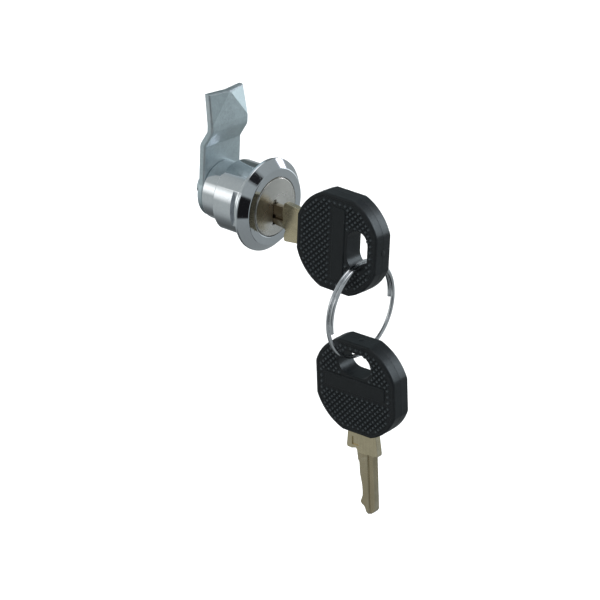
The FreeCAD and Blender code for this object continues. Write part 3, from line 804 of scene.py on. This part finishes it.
def tip_depth(size, front, x, z):
    """Front and back of the folded tip at a place on it."""
    share = (z - size.tip_start) / (size.tip_top - size.tip_start)
    fold = size.half_width * (1 - share)
    edge = size.half_width + (size.tip_half_width - size.half_width) * share
    side = min(1.0, max(0.0, (abs(x) - fold) / max(edge - fold, 1e-6)))
    ahead = front + (TIP_LEAN + TIP_BEVEL * side) * share
    middle = size.thickness + (TIP_MIDDLE_THICKNESS - size.thickness) * share
    return ahead, ahead + middle + (TIP_SIDE_THICKNESS - TIP_MIDDLE_THICKNESS) * share * side


class LOCK_OT_cam(bpy.types.Operator):
    """Make the cranked cam with its folded tip"""
    bl_idname = "lock.cam"
    bl_label = "Cam"

    def execute(self, context):
        size = measures(context.scene.lock_cam)
        step_front = box_of("cam_washer")[0].y - size.thickness - size.crank_step
        flat_top = size.tip_top
        while crank_path(size, flat_top)[0].y < size.tip_top:
            flat_top += 0.001
        gained = flat_top - size.tip_top
        tip_start = size.tip_start + gained
        shoulder = math.sqrt(size.hub_radius ** 2 - size.half_width ** 2)
        turn_at = math.degrees(math.atan2(shoulder, size.half_width))
        outline = list(arc((0, 0), size.hub_radius, 180 - turn_at, 360 + turn_at, 60))
        outline += [(size.half_width, tip_start), (size.tip_half_width, flat_top),
                    (-size.tip_half_width, flat_top), (-size.half_width, tip_start)]
        hole = size.hole / 2
        square = [(-hole, -hole), (-hole, hole), (hole, hole), (hole, -hole)]
        half = size.thickness / 2
        edges = rounded_levels(-half, half, size.break_edge, steps=5, top_edge=0.2)
        mesh = add_plate(bmesh.new(), outline, [square], edges, rounded_levels(-half, half, edge=0.12, steps=2))
        planes = [((0, cut, 0), (0, 1, 0)) for cut in CAM_SPLITS + [tip_start] if cut < flat_top]
        for side in (-1, 1):
            direction = Vector((size.half_width, size.tip_top - size.tip_start, 0))
            planes.append(((0, flat_top, 0), (direction.y * side, direction.x, 0)))
        for spot, normal in planes:
            for part in split_at(mesh, spot, normal):
                if normal[0] and isinstance(part, bmesh.types.BMEdge):
                    part.smooth = False
        for vertex in mesh.verts:
            x, along, out = vertex.co
            behind = half + out
            if along > tip_start:
                z = along - gained
                ahead, rear = tip_depth(size, step_front, x, z)
                vertex.co = (x, ahead + (rear - ahead) * behind / size.thickness, z)
            else:
                spot, angle = crank_path(size, along)
                vertex.co = (x, spot.x + out * math.cos(angle), spot.y + out * math.sin(angle))
        close_and_finish("cam_plate", mesh, in_metres(), finish_of("Zinc plated steel"), "plug",
                         "zinc_plated_steel", "cam")
        return {"FINISHED"}


# Washer and screw: bore and rounding of the washer; shank and end of the screw
WASHER_BORE, WASHER_EDGE = 2.65, 0.18
SHANK_RADIUS, END_RADIUS, END_LENGTH = 2.45, 2.05, 0.4
# The screw's head as radius and distance: the dish and the crown from its top, the foot from its seat
HEAD_DISH = [(0.0, 0.35), (2.0, 0.35), (2.6, 0.0)]
HEAD_CROWN = [(3.55, 0.0), (3.85, 0.06), (4.25, 0.28), (4.75, 0.62)]
HEAD_FOOT = [(4.75, 0.3), (4.35, 0.08), (3.9, 0.0)]


class LOCK_OT_fastener(bpy.types.Operator):
    """Make the hexagon screw and the washer that hold the cam"""
    bl_idname = "lock.fastener"
    bl_label = "Screw and washer"

    def execute(self, context):
        size = measures(context.scene.lock_cam)
        zinc = finish_of("Zinc plated steel")
        low, high = box_of("cam_washer")
        seat = high.y
        corners = ((WASHER_BORE, low.y), (size.washer_radius, low.y), (size.washer_radius, high.y),
                   (WASHER_BORE, high.y))
        profile = soften([(radius, y, "", True) for radius, y in corners], WASHER_EDGE)
        close_and_finish("cam_washer_ring", turned_mesh(profile, round_angles(96)), in_metres(), zinc, "plug",
                         "zinc_plated_steel", "cam_washer")
        low, high = box_of("cam_screw")
        flats = size.screw_flats / 2

        def hexagon(r, kind, angle):
            if kind != "hex":
                return r
            turned = (math.degrees(angle) + 30) % 60 - 30
            return min(r, flats / math.cos(math.radians(30 - abs(turned))))

        profile = [(radius, high.y - drop, "") for radius, drop in HEAD_DISH]
        profile += [(radius, high.y - drop, "hex") for radius, drop in HEAD_CROWN]
        profile += [(radius, seat + rise, "hex") for radius, rise in HEAD_FOOT]
        profile += [(SHANK_RADIUS, seat, ""), (SHANK_RADIUS, low.y + END_LENGTH, ""), (END_RADIUS, low.y, ""),
                    (0.0, low.y, "")]
        angles = round_angles(96, [corner + small for corner in range(0, 360, 60) for small in (-1.2, 1.2)])
        mesh = turned_mesh(profile, angles, hexagon, closed=False)
        close_and_finish("cam_screw_bolt", mesh, in_metres(), zinc, "plug", "zinc_plated_steel", "cam_screw",
                         sharp=24.0)
        return {"FINISHED"}


# ---------------------------------------------------------------- keys

# Places along a key from the middle of its head: the tip, the start of the grooves and of the milling, where
# the painted shade starts
BLADE_TIP, GROOVES_FROM, MILLED_FROM = 41.8, 21.9, 22.1
# Each groove's side of the blade and the range across it that it takes
GROOVES = [(1, 1.9, 3.8), (-1, 0.3, 1.6)]
# The stamped mark on the neck: its range along the key and across it
STAMP = (17.3, 20.0, -3.6, -1.1)
GROOVE_DEPTH, STAMP_DEPTH = 0.5, 0.3
# The ring slot in a head, the smooth band across it, and the mark of the mould's gate on its rim
SLOT_RADIUS, SLOT_MIDDLE, SLOT_HALF_LENGTH = 3.725, -7.625, 6.0
BAND_LOW, BAND_HIGH, BAND_HALF_LENGTH, BAND_CORNER = -2.9, 1.45, 11.0, 0.4
GATE_RADIUS, GATE_ACROSS = 0.85, 0.4
# Parting line round a head as heights and insets, rounding of the slot, and how far the knurl stays from
# the rim, the slot and the band
PARTING_LINE = [(-0.12, 0.0), (-0.04, -0.06), (0.04, -0.06), (0.12, 0.0)]
SLOT_EDGE, BAND_RISE = 0.12, 0.3
KNURL_TO_RIM, KNURL_TO_SLOT, KNURL_TO_BAND = 0.45, 0.35, 0.6


def key_frames(size):
    """Body and frame of each key: X towards its tip, Y towards its spine, Z out of its face."""
    hanging = Matrix(((0, 0, -1, 0), (0, -1, 0, 0), (-1, 0, 0, 0), (0, 0, 0, 1)))
    lean = Matrix.Rotation(-size.spare_round_ring, 4, "Y") @ Matrix.Rotation(-size.spare_pitch, 4, "X")
    in_lock = Matrix(((0, 0, 1, 0), (1, 0, 0, 0), (0, 1, 0, 0), (0, 0, 0, 1)))
    frames = []
    for body, axes in (("key_1", in_lock), ("key_2", lean @ hanging)):
        low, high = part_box(body + "_head")
        frames.append((body, Matrix.Translation((low + high) / 2) @ axes @ Matrix.Scale(MM, 4)))
    return frames


def blade_outline(size):
    """Outline of a blade, along the key and across it."""
    exit_at = size.head_flats
    low_shoulder = [(1.4, -5.1), (6.0, -5.68), (6.6, -5.45), (6.7, -3.8), (6.2, -2.3), (6.7, -1.85)]
    bitting = [(17.4, -1.56), (16.5, -1.09), (12.7, -0.96), (11.0, -0.63), (9.3, -0.31), (7.4, -0.18),
               (5.6, -0.25), (4.6, -0.63), (3.5, -1.06), (2.8, -0.7), (2.2, 0.33), (1.4, 0.69), (0.5, 0.93)]
    nose = [(0.05, 1.7), (0.0, 2.5), (1.1, 3.9), (2.0, 4.5)]
    high_shoulder = [(7.2, 4.5), (6.9, 5.95), (6.2, 6.12), (1.0, 5.6)]
    outline = [(2.2, -4.8), (exit_at, -5.0)]
    outline += [(exit_at + out, height) for out, height in low_shoulder]
    outline += [(BLADE_TIP - back, height) for back, height in bitting + nose]
    outline += [(exit_at + out, height) for out, height in high_shoulder]
    return outline + [(exit_at, 5.2), (exit_at, 4.8), (2.2, 4.8)]


def cut_away(item, cutters):
    """Takes the cutters out of a piece and removes them."""
    for cutter in cutters:
        modifier = item.modifiers.new("Cut", "BOOLEAN")
        modifier.operation = "DIFFERENCE"
        modifier.solver = "EXACT"
        modifier.object = cutter
    mesh = shown_mesh(item)
    item.modifiers.clear()
    old = item.data
    item.data = mesh
    bpy.data.meshes.remove(old)
    for cutter in cutters:
        data = cutter.data
        bpy.data.objects.remove(cutter)
        bpy.data.meshes.remove(data)


def groove_cutter(name, side, depth, start, end, low, high, slant=0.3):
    """A bar along the key that cuts a groove with slanted walls into one face of a blade."""
    over = depth + 1.0
    section = [(low + slant, depth), (high - slant, depth), (high + slant, over), (low - slant, over)]
    mesh = bmesh.new()
    rows = [[mesh.verts.new((u, v, w * side)) for v, w in section] for u in (start, end)]
    for index in range(4):
        after = (index + 1) % 4
        mesh.faces.new((rows[0][index], rows[0][after], rows[1][after], rows[1][index]))
    for row in rows:
        mesh.faces.new(row)
    bmesh.ops.recalc_face_normals(mesh, faces=mesh.faces)
    return put_in_scene(name, as_data(mesh, name))


class LOCK_OT_blades(bpy.types.Operator):
    """Make the two nickel silver blades with their bitting and milled grooves"""
    bl_idname = "lock.blades"
    bl_label = "Key blades"

    def execute(self, context):
        size = measures(context.scene.lock_keys)
        half = size.blade_thickness / 2
        edges = rounded_levels(-half, half, edge=0.11, steps=3)
        # For each key: how the lines of its rolling are turned and stretched, and how much painted shade
        # darkens its milled part
        rolling_and_shade = {"key_1": ((0, 0, 0), (1.0, 0.035, 1.0), 0.95),
                   "key_2": ((size.spare_pitch, size.spare_round_ring, 0), (1.0, 1.0, 0.035), 0.4)}
        for body, place in key_frames(size):
            mesh = add_plate(bmesh.new(), blade_outline(size), [], edges)
            bmesh.ops.remove_doubles(mesh, verts=mesh.verts, dist=0.001)
            bmesh.ops.recalc_face_normals(mesh, faces=mesh.faces)
            blank = put_in_scene(body + "_blank", as_data(mesh, body + "_blank"))
            cutters = [groove_cutter("groove", side, half - GROOVE_DEPTH, GROOVES_FROM, BLADE_TIP + 2.2, *span)
                       for side, *span in GROOVES]
            cutters.append(groove_cutter("stamp", 1, half - STAMP_DEPTH, *STAMP, slant=0.1))
            cut_away(blank, cutters)
            mesh = bmesh.new()
            mesh.from_mesh(blank.data)
            split_at(mesh, (MILLED_FROM, 0, 0), (1, 0, 0))
            # The milled part is marked for the painted shade that the material lays on it.
            milled = mesh.faces.layers.float.new("milled")
            for face in mesh.faces:
                face[milled] = float(face.calc_center_median().x > MILLED_FROM)
            data = blank.data
            bpy.data.objects.remove(blank)
            bpy.data.meshes.remove(data)
            name = body + "_metal"
            metal = blade_material(name, context.scene.lock_finishes.blade, *rolling_and_shade[body])
            close_and_finish(name, mesh, place, metal, body, "nickel_silver", body + "_blade", sharp=28.0)
        return {"FINISHED"}


def head_outline(radius, flats, steps=14):
    """A circle cut by four flats, anticlockwise."""
    reach = math.degrees(math.acos(flats / radius))
    points = []
    for middle in (45, 135, 225, 315):
        points += list(arc((0, 0), radius, middle - 45 + reach, middle + 45 - reach, steps))
    return points


def slot_outline(grow):
    """The ring slot in a head, clockwise, made larger by grow."""
    radius, straight = SLOT_RADIUS + grow, SLOT_HALF_LENGTH - SLOT_RADIUS
    return (list(arc((SLOT_MIDDLE, straight), radius, 180, 0, 18))
            + list(arc((SLOT_MIDDLE, -straight), radius, 0, -180, 18)))


def band_outline():
    """The smooth band across a head, anticlockwise, with its corners cut."""
    low, high, half, cut = BAND_LOW, BAND_HIGH, BAND_HALF_LENGTH, BAND_CORNER
    lower = [(low, cut - half), (low + cut, -half), (high - cut, -half), (high, cut - half)]
    return lower + [(x, -y) for x, y in reversed(lower)]


def knurl_tree():
    """Pyramids in a diamond pattern on every part of a flat field."""
    tree, given, give = new_group(
        "Knurled field",
        {"Field": "Geometry", "Along": 0.97, "Across": 0.95, "Height": 0.42, "Tip": 0.24, "Foot": 0.04,
         "Columns": 33, "Rows": 33, "Finish": "Material"},
        {"Knurl": "Geometry"}, "GeometryNodeTree")
    long = times(tree, math_node(tree, "SUBTRACT", given["Columns"], 1.0), given["Along"])
    wide = times(tree, math_node(tree, "SUBTRACT", given["Rows"], 1.0), given["Across"])
    grid = put(tree, "GeometryNodeMeshGrid", Size_X=long, Size_Y=wide, Vertices_X=given["Columns"],
               Vertices_Y=given["Rows"]).outputs["Mesh"]
    place = put(tree, "GeometryNodeInputPosition").outputs[0]
    parts = put(tree, "ShaderNodeSeparateXYZ", Vector=place).outputs
    column = math_node(tree, "ROUND", math_node(tree, "DIVIDE", parts["X"], given["Along"]))
    row = math_node(tree, "ROUND", math_node(tree, "DIVIDE", parts["Y"], given["Across"]))
    number = math_node(tree, "ADD", column, row)
    odd = math_node(tree, "GREATER_THAN", math_node(tree, "FLOORED_MODULO", number, 2.0), 0.5)
    above = put(tree, "ShaderNodeVectorMath", {"operation": "ADD"}, i0=place, i1=(0.0, 0.0, 1.0)).outputs[0]
    cast = put(tree, "GeometryNodeRaycast", Target_Geometry=given["Field"], Source_Position=above,
               Ray_Direction=(0.0, 0.0, -1.0), Ray_Length=2.0)
    outside = math_node(tree, "SUBTRACT", 1.0, cast.outputs["Is Hit"])
    drop = math_node(tree, "MAXIMUM", odd, outside)
    kept = put(tree, "GeometryNodeDeleteGeometry", {"domain": "POINT"}, Geometry=grid, Selection=drop)
    depth = math_node(tree, "ADD", given["Height"], given["Foot"])
    pyramid = put(tree, "GeometryNodeMeshCone", Vertices=4, Radius_Top=given["Tip"], Radius_Bottom=1.0,
                  Depth=depth)
    sunk = times(tree, given["Foot"], -1.0)
    lowered = put(tree, "GeometryNodeTransform", Geometry=pyramid.outputs["Mesh"],
                  Translation=put(tree, "ShaderNodeCombineXYZ", Z=sunk).outputs[0])
    # The pyramids' tips are marked for the painted highlight that the plastic lays on them.
    rubbed = math_node(tree, "GREATER_THAN", parts["Z"], times(tree, given["Height"], 0.8))
    marked = put(tree, "GeometryNodeStoreNamedAttribute", {"data_type": "FLOAT", "domain": "POINT"},
                 Geometry=lowered.outputs[0], Name="rubbed", Value=rubbed)
    spread = put(tree, "ShaderNodeCombineXYZ", X=given["Along"], Y=given["Across"], Z=1.0).outputs[0]
    many = put(tree, "GeometryNodeInstanceOnPoints", Points=kept.outputs[0], Instance=marked.outputs[0],
               Scale=spread)
    solid = put(tree, "GeometryNodeRealizeInstances", Geometry=many.outputs[0])
    dressed = put(tree, "GeometryNodeSetMaterial", Geometry=solid.outputs[0], Material=given["Finish"])
    return give(Knurl=dressed.outputs[0])


def grow(tree, base, **inputs):
    """Runs a Geometry Nodes tree on a mesh and returns the mesh that it makes."""
    item = put_in_scene("nodes_run", base)
    modifier = item.modifiers.new(tree.name, "NODES")
    modifier.node_group = tree
    sockets = {socket.name: socket.identifier for socket in tree.interface.items_tree
               if socket.in_out == "INPUT"}
    for name, value in inputs.items():
        modifier[sockets[name.replace("_", " ")]] = value
    item.update_tag()
    result = shown_mesh(item)
    item.modifiers.remove(modifier)
    bpy.data.objects.remove(item)
    return result


def knurl_field(size):
    """The flat field on which a head is knurled: inside the rim, round the slot and beside the band."""
    mesh = bmesh.new()
    margin = size.rim_width + KNURL_TO_RIM
    low, high, across = BAND_LOW - KNURL_TO_BAND, BAND_HIGH + KNURL_TO_BAND, BAND_HALF_LENGTH + 0.5
    loops = [head_outline(size.head_radius - margin, size.head_flats - margin), slot_outline(KNURL_TO_SLOT),
             [(low, -across), (low, across), (high, across), (high, -across)]]
    edges = []
    for loop in loops:
        verts = [mesh.verts.new((u, v, 0.0)) for u, v in loop]
        edges += [mesh.edges.new((verts[i], verts[(i + 1) % len(verts)])) for i in range(len(verts))]
    bmesh.ops.triangle_fill(mesh, use_beauty=True, edges=edges)
    return as_data(mesh, "knurl_field")


class LOCK_OT_heads(bpy.types.Operator):
    """Make the two moulded heads with their knurled faces, plain bands and ring slots"""
    bl_idname = "lock.heads"
    bl_label = "Key heads"

    def execute(self, context):
        size = measures(context.scene.lock_keys)
        plastic = finish_of("Black plastic")
        half = size.head_thickness / 2
        floor = half - size.field_sunk
        knurl = grow(knurl_tree(), knurl_field(size), Along=size.knurl_along, Across=size.knurl_across,
                     Height=size.knurl_height, Finish=plastic)
        rim = rounded_levels(-half, half, size.head_rounding, steps=5)
        middle = len(rim) // 2
        rim[middle:middle] = PARTING_LINE
        step = size.rim_width
        levels = [(-floor, step + 0.1), (-half, step)] + rim + [(half, step), (floor, step + 0.1)]
        slot_levels = [(-floor, SLOT_EDGE), (SLOT_EDGE - floor, 0.0),
                       (floor - SLOT_EDGE, 0.0), (floor, SLOT_EDGE)]
        band = band_outline()
        band_levels = [(floor - 0.1, 0.0)] + rounded_levels(floor, floor + BAND_RISE, edge=0.13, steps=3)[4:]
        on_rim = Matrix.Translation((-size.head_flats, GATE_ACROSS, 0)) @ Matrix.Rotation(-math.pi / 2, 4, "Y")
        outline = head_outline(size.head_radius, size.head_flats)
        for body, place in key_frames(size):
            mesh = add_plate(bmesh.new(), outline, [slot_outline(0.0)], levels, slot_levels)
            add_plate(mesh, band, [], band_levels)
            add_plate(mesh, band[::-1], [], [(-height, -distance) for height, distance in band_levels])
            gate = add_plate(bmesh.new(), list(arc((0, 0), GATE_RADIUS, 0, 345, 23)), [],
                             rounded_levels(-0.1, 0.12, edge=0.08, steps=2))
            gate.transform(on_rim)
            mark = as_data(gate, "gate")
            mesh.from_mesh(mark)
            bpy.data.meshes.remove(mark)
            name = body + "_grip"
            data = close_mesh(mesh, name, place, sharp=38.0)
            mesh = bmesh.new()
            mesh.from_mesh(data)
            for over in (Matrix.Identity(4), Matrix.Rotation(math.pi, 4, "X")):
                field = knurl.copy()
                field.transform(place @ over @ Matrix.Translation((0, 0, floor)))
                mesh.from_mesh(field)
                bpy.data.meshes.remove(field)
            mesh.to_mesh(data)
            mesh.free()
            finish_piece(name, data, plastic, body, "black_plastic", body + "_head")
        return {"FINISHED"}


def ring_tree():
    """A split ring: a spring of flat pitch with square cut ends."""
    tree, given, give = new_group(
        "Split ring",
        {"Base": "Geometry", "Turns": 1.54, "Radius": 14.3, "Pitch": 1.25, "Wire": 1.2, "Finish": "Material"},
        {"Ring": "Geometry"}, "GeometryNodeTree")
    rise = times(tree, given["Turns"], given["Pitch"])
    path = put(tree, "GeometryNodeCurveSpiral", Reverse=True, Resolution=160, Rotations=given["Turns"],
               Start_Radius=given["Radius"], End_Radius=given["Radius"], Height=rise)
    wire = times(tree, given["Wire"], 0.5)
    section = put(tree, "GeometryNodeCurvePrimitiveCircle", {"mode": "RADIUS"}, Resolution=20, Radius=wire)
    tube = put(tree, "GeometryNodeCurveToMesh", Curve=path.outputs[0], Profile_Curve=section.outputs["Curve"],
               Fill_Caps=True)
    solid = put(tree, "GeometryNodeRealizeInstances", Geometry=tube.outputs[0])
    dressed = put(tree, "GeometryNodeSetMaterial", Geometry=solid.outputs[0], Material=given["Finish"])
    return give(Ring=dressed.outputs[0])


class LOCK_OT_ring(bpy.types.Operator):
    """Make the split ring that carries the spare key"""
    bl_idname = "lock.ring"
    bl_label = "Split ring"

    def execute(self, context):
        size = measures(context.scene.lock_keys)
        steel = finish_of("Ring steel")
        spring = grow(ring_tree(), bpy.data.meshes.new("ring_base"), Turns=size.ring_turns,
                      Radius=size.ring_radius, Pitch=size.ring_pitch, Wire=size.ring_wire, Finish=steel)
        low, high = box_of("key_ring")
        centre = (low + high) / 2
        mesh = bmesh.new()
        mesh.from_mesh(spring)
        rise = size.ring_turns * size.ring_pitch
        along = Matrix(((1, 0, 0, 0), (0, 0, 1, 0), (0, -1, 0, 0), (0, 0, 0, 1)))
        seat = Matrix.Translation((centre.x, centre.y - rise / 2, centre.z))
        start = Matrix.Rotation(-size.ring_end, 4, "Z")
        close_and_finish("split_ring", mesh, in_metres(seat @ along @ start), steel, "ring", "ring_steel",
                         "key_ring")
        return {"FINISHED"}


class LOCK_OT_inside(bpy.types.Operator):
    """Give the plug, circlip, wafers and springs their metals"""
    bl_idname = "lock.inside"
    bl_label = "Inside parts"

    def execute(self, context):
        metals = {"plug": "Plug nickel", "plug_circlip": "Spring steel", "wafer": "Wafer brass",
                  "wafer_spring": "Spring steel"}
        for name, item in frame["nodes"].items():
            metal = metals.get(name.rstrip("_0123456789"))
            for slot in item.material_slots if metal else ():
                slot.material = finish_of(metal)
        return {"FINISHED"}


# ---------------------------------------------------------------- stage

# The camera that was fitted to the photograph: its place in metres, and where its right, up and back point
CAMERA_PLACE = (-0.65418, -0.55107, 0.32687)
CAMERA_AXES = ((0.646, -0.7624, 0.0378), (0.2714, 0.2757, 0.9221), (-0.7134, -0.5855, 0.385))


def toward(azimuth, elevation):
    """A direction: azimuth 0 is the key side, 90 is +X."""
    a, e = math.radians(azimuth), math.radians(elevation)
    return Vector((math.sin(a) * math.cos(e), -math.cos(a) * math.cos(e), math.sin(e)))


def panel_group():
    """How much of a flat panel a direction sees, from its middle, its sides and its size."""
    tree, given, give = new_group(
        "Studio panel",
        {"Facing": (0, -1, 0), "Right": (1, 0, 0), "Up": (0, 0, 1), "Half Width": 0.1, "Half Height": 0.1,
         "Softness": 0.3},
        {"Mask": "Float"})
    look = put(tree, "ShaderNodeTexCoord").outputs["Generated"]

    def dot(name):
        node = put(tree, "ShaderNodeVectorMath", {"operation": "DOT_PRODUCT"}, i0=look, i1=given[name])
        return node.outputs["Value"]

    ahead = dot("Facing")
    safe = math_node(tree, "MAXIMUM", ahead, 0.01)
    inner = math_node(tree, "SUBTRACT", 1.0, given["Softness"])
    outer = math_node(tree, "ADD", 1.0, given["Softness"])
    masks = []
    for side, half in (("Right", "Half Width"), ("Up", "Half Height")):
        share = math_node(tree, "ABSOLUTE", math_node(tree, "DIVIDE", dot(side), safe))
        share = math_node(tree, "DIVIDE", share, given[half])
        masks.append(remap(tree, share, inner, outer, 1.0, 0.0, smooth=True))
    both = times(tree, masks[0], masks[1])
    front = math_node(tree, "GREATER_THAN", ahead, 0.05)
    return give(Mask=times(tree, both, front))


# Panels round the studio: name, azimuth, elevation, half width and height in degrees, softness, colour
PANELS = [
    ("rear left glow", -140, 5, 22, 44, 0.5, (0.40, 0.43, 0.43)),
    ("rear top glow", 156, 46, 22, 12, 0.4, (0.46, 0.57, 0.62)),
    ("rear right shade", 131, 20, 8, 13, 0.4, (0.10, 0.12, 0.12)),
    ("left strip", -130, 9, 5, 11, 0.85, (1.35, 1.37, 1.35)),
    ("front panel", 68, -2, 15, 12, 0.35, (1.15, 1.24, 1.28)),
    ("right strip", 84, 22, 4.0, 6, 0.9, (7.0, 6.9, 7.6)),
    ("left dark card", -51, -4, 14, 21, 0.12, (0.010, 0.010, 0.011)),
    ("top dark card", -6, 47, 11, 7, 0.3, (0.014, 0.014, 0.016)),
    ("overhead panel", 40, 84, 18, 18, 0.5, (1.30, 1.32, 1.35)),
    ("left side panel", -93, 24, 9, 7, 0.4, (1.25, 1.27, 1.30)),
    ("left side card", -92, -14, 10, 9, 0.4, (0.030, 0.032, 0.035)),
    ("right side card", 98, 50, 10, 9, 0.4, (0.035, 0.037, 0.040)),
    ("rear panel", 178, 12, 9, 12, 0.5, (1.20, 1.22, 1.25)),
    ("rear card", 158, -8, 6, 16, 0.4, (0.03, 0.032, 0.035)),
    ("rear low dark", -170, -66, 30, 16, 0.5, (0.06, 0.065, 0.065)),
]


# Suns: name, azimuth, elevation, strength, width in degrees, colour, and whether only the key heads see it
LIGHTS = [
    ("key light", -60, 62, 2.2, 50, (1.0, 1.0, 1.0), False),
    ("fill light", 40, 50, 0.9, 60, (1.0, 1.0, 1.0), False),
    ("rear light", 170, 55, 0.9, 50, (1.0, 1.0, 1.0), False),
    ("sheen light", 56, 24, 1.5, 32, (0.80, 0.92, 1.0), True),
]


def studio_world():
    """Soft grey surroundings with bright strips and dark cards, seen white by the camera itself."""
    world = bpy.data.worlds.new("Studio")
    world.use_nodes = True
    tree = world.node_tree
    tree.nodes.clear()
    look = put(tree, "ShaderNodeTexCoord").outputs["Generated"]
    height = put(tree, "ShaderNodeSeparateXYZ", Vector=look).outputs["Z"]
    low = remap(tree, height, -1.0, 0.1, smooth=True)
    shade = mix_colour(tree, low, (0.23, 0.25, 0.255, 1.0), (0.31, 0.34, 0.35, 1.0))
    for _, azimuth, elevation, wide, tall, soft, tone in PANELS:
        facing = toward(azimuth, elevation)
        right = toward(azimuth + 90, 0)
        up = toward(azimuth, elevation + 90)
        mask = use_group(tree, "Studio panel", panel_group, Facing=facing, Right=right, Up=up,
                         Half_Width=math.tan(math.radians(wide)), Half_Height=math.tan(math.radians(tall)),
                         Softness=soft)["Mask"]
        shade = mix_colour(tree, mask, shade, tone + (1.0,))
    seen = put(tree, "ShaderNodeLightPath").outputs["Is Camera Ray"]
    shade = mix_colour(tree, seen, shade, (1.0, 1.0, 1.0, 1.0))
    ground = put(tree, "ShaderNodeBackground", Color=shade, Strength=1.0)
    output = tree.nodes.new("ShaderNodeOutputWorld")
    tree.links.new(ground.outputs[0], output.inputs["Surface"])
    return world


def floor_material():
    """A pale matt floor."""
    material, tree, shader = new_material("Pale floor", Metallic=0.0, Roughness=0.9)
    grain = grain_of(tree, scale=40.0, cloud_scale=3.0, cloud_share=0.5)
    tree.links.new(mix_colour(tree, grain["Tone"], (0.90, 0.90, 0.90, 1), (0.93, 0.93, 0.93, 1)),
                   shader.inputs["Base Color"])
    return material


class LOCK_OT_stage(bpy.types.Operator):
    """Set the pale floor, the soft light and the camera"""
    bl_idname = "lock.stage"
    bl_label = "Stage"

    def execute(self, context):
        settings = context.scene.lock_stage
        reach = 4.0
        mesh = bpy.data.meshes.new("floor")
        corners = [(-reach, -reach), (reach, -reach), (reach, reach), (-reach, reach)]
        mesh.from_pydata([(x, y, -settings.floor_drop) for x, y in corners], [], [(0, 1, 2, 3)])
        floor = put_in_scene("floor", mesh)
        mesh.materials.append(floor_material())
        floor.visible_glossy = False
        context.scene.world = studio_world()
        heads = bpy.data.collections.new("heads")
        for item in bpy.data.objects:
            if item.name.endswith("_grip"):
                heads.objects.link(item)
        for name, azimuth, elevation, strength, spread, tone, for_heads in LIGHTS:
            data = bpy.data.lights.new(name, "SUN")
            data.energy = strength
            data.angle = math.radians(spread)
            data.color = tone
            lamp = put_in_scene(name, data)
            lamp.rotation_euler = toward(azimuth, elevation).to_track_quat("Z", "Y").to_euler()
            lamp.visible_glossy = for_heads
            if for_heads:
                lamp.light_linking.receiver_collection = heads
        camera = bpy.data.cameras.new("camera")
        camera.sensor_width = 36.0
        camera.angle = settings.view_angle
        camera.clip_start = 0.01
        camera.clip_end = 20.0
        item = put_in_scene("camera", camera)
        place = Matrix(CAMERA_AXES).transposed().to_4x4()
        place.translation = Vector(CAMERA_PLACE)
        item.matrix_world = place
        context.scene.camera = item
        context.scene.view_settings.view_transform = "Standard"
        return {"FINISHED"}


class LOCK_PT_panel(bpy.types.Panel):
    """Lists the operators and the sizes"""
    bl_idname = "LOCK_PT_panel"
    bl_label = "Lock cylinder"
    bl_space_type = "VIEW_3D"
    bl_region_type = "UI"
    bl_category = "Lock"

    def draw(self, context):
        layout = self.layout
        for operator in OPERATORS:
            layout.operator(operator.bl_idname)
        for name in SETTINGS:
            group = getattr(context.scene, name)
            box = layout.box()
            for key in group.bl_rna.properties.keys():
                if key not in ("rna_type", "name"):
                    box.prop(group, key)


SETTINGS = {
    "lock_housing": HousingSizes,
    "lock_cam": CamSizes,
    "lock_keys": KeySizes,
    "lock_finishes": Finishes,
    "lock_stage": StageSizes,
}
OPERATORS = (LOCK_OT_housing, LOCK_OT_face_plate, LOCK_OT_cam, LOCK_OT_fastener, LOCK_OT_blades, LOCK_OT_heads,
             LOCK_OT_ring, LOCK_OT_inside, LOCK_OT_stage)
CLASSES = tuple(SETTINGS.values()) + OPERATORS + (LOCK_PT_panel,)


def register():
    for item in CLASSES:
        bpy.utils.register_class(item)
    for name, group in SETTINGS.items():
        setattr(bpy.types.Scene, name, bpy.props.PointerProperty(type=group))


def unregister():
    for name in SETTINGS:
        delattr(bpy.types.Scene, name)
    for item in reversed(CLASSES):
        bpy.utils.unregister_class(item)


def main():
    register()
    for operator in OPERATORS:
        group, name = operator.bl_idname.split(".")
        getattr(getattr(bpy.ops, group), name)()


if __name__ == "__main__":
    main()
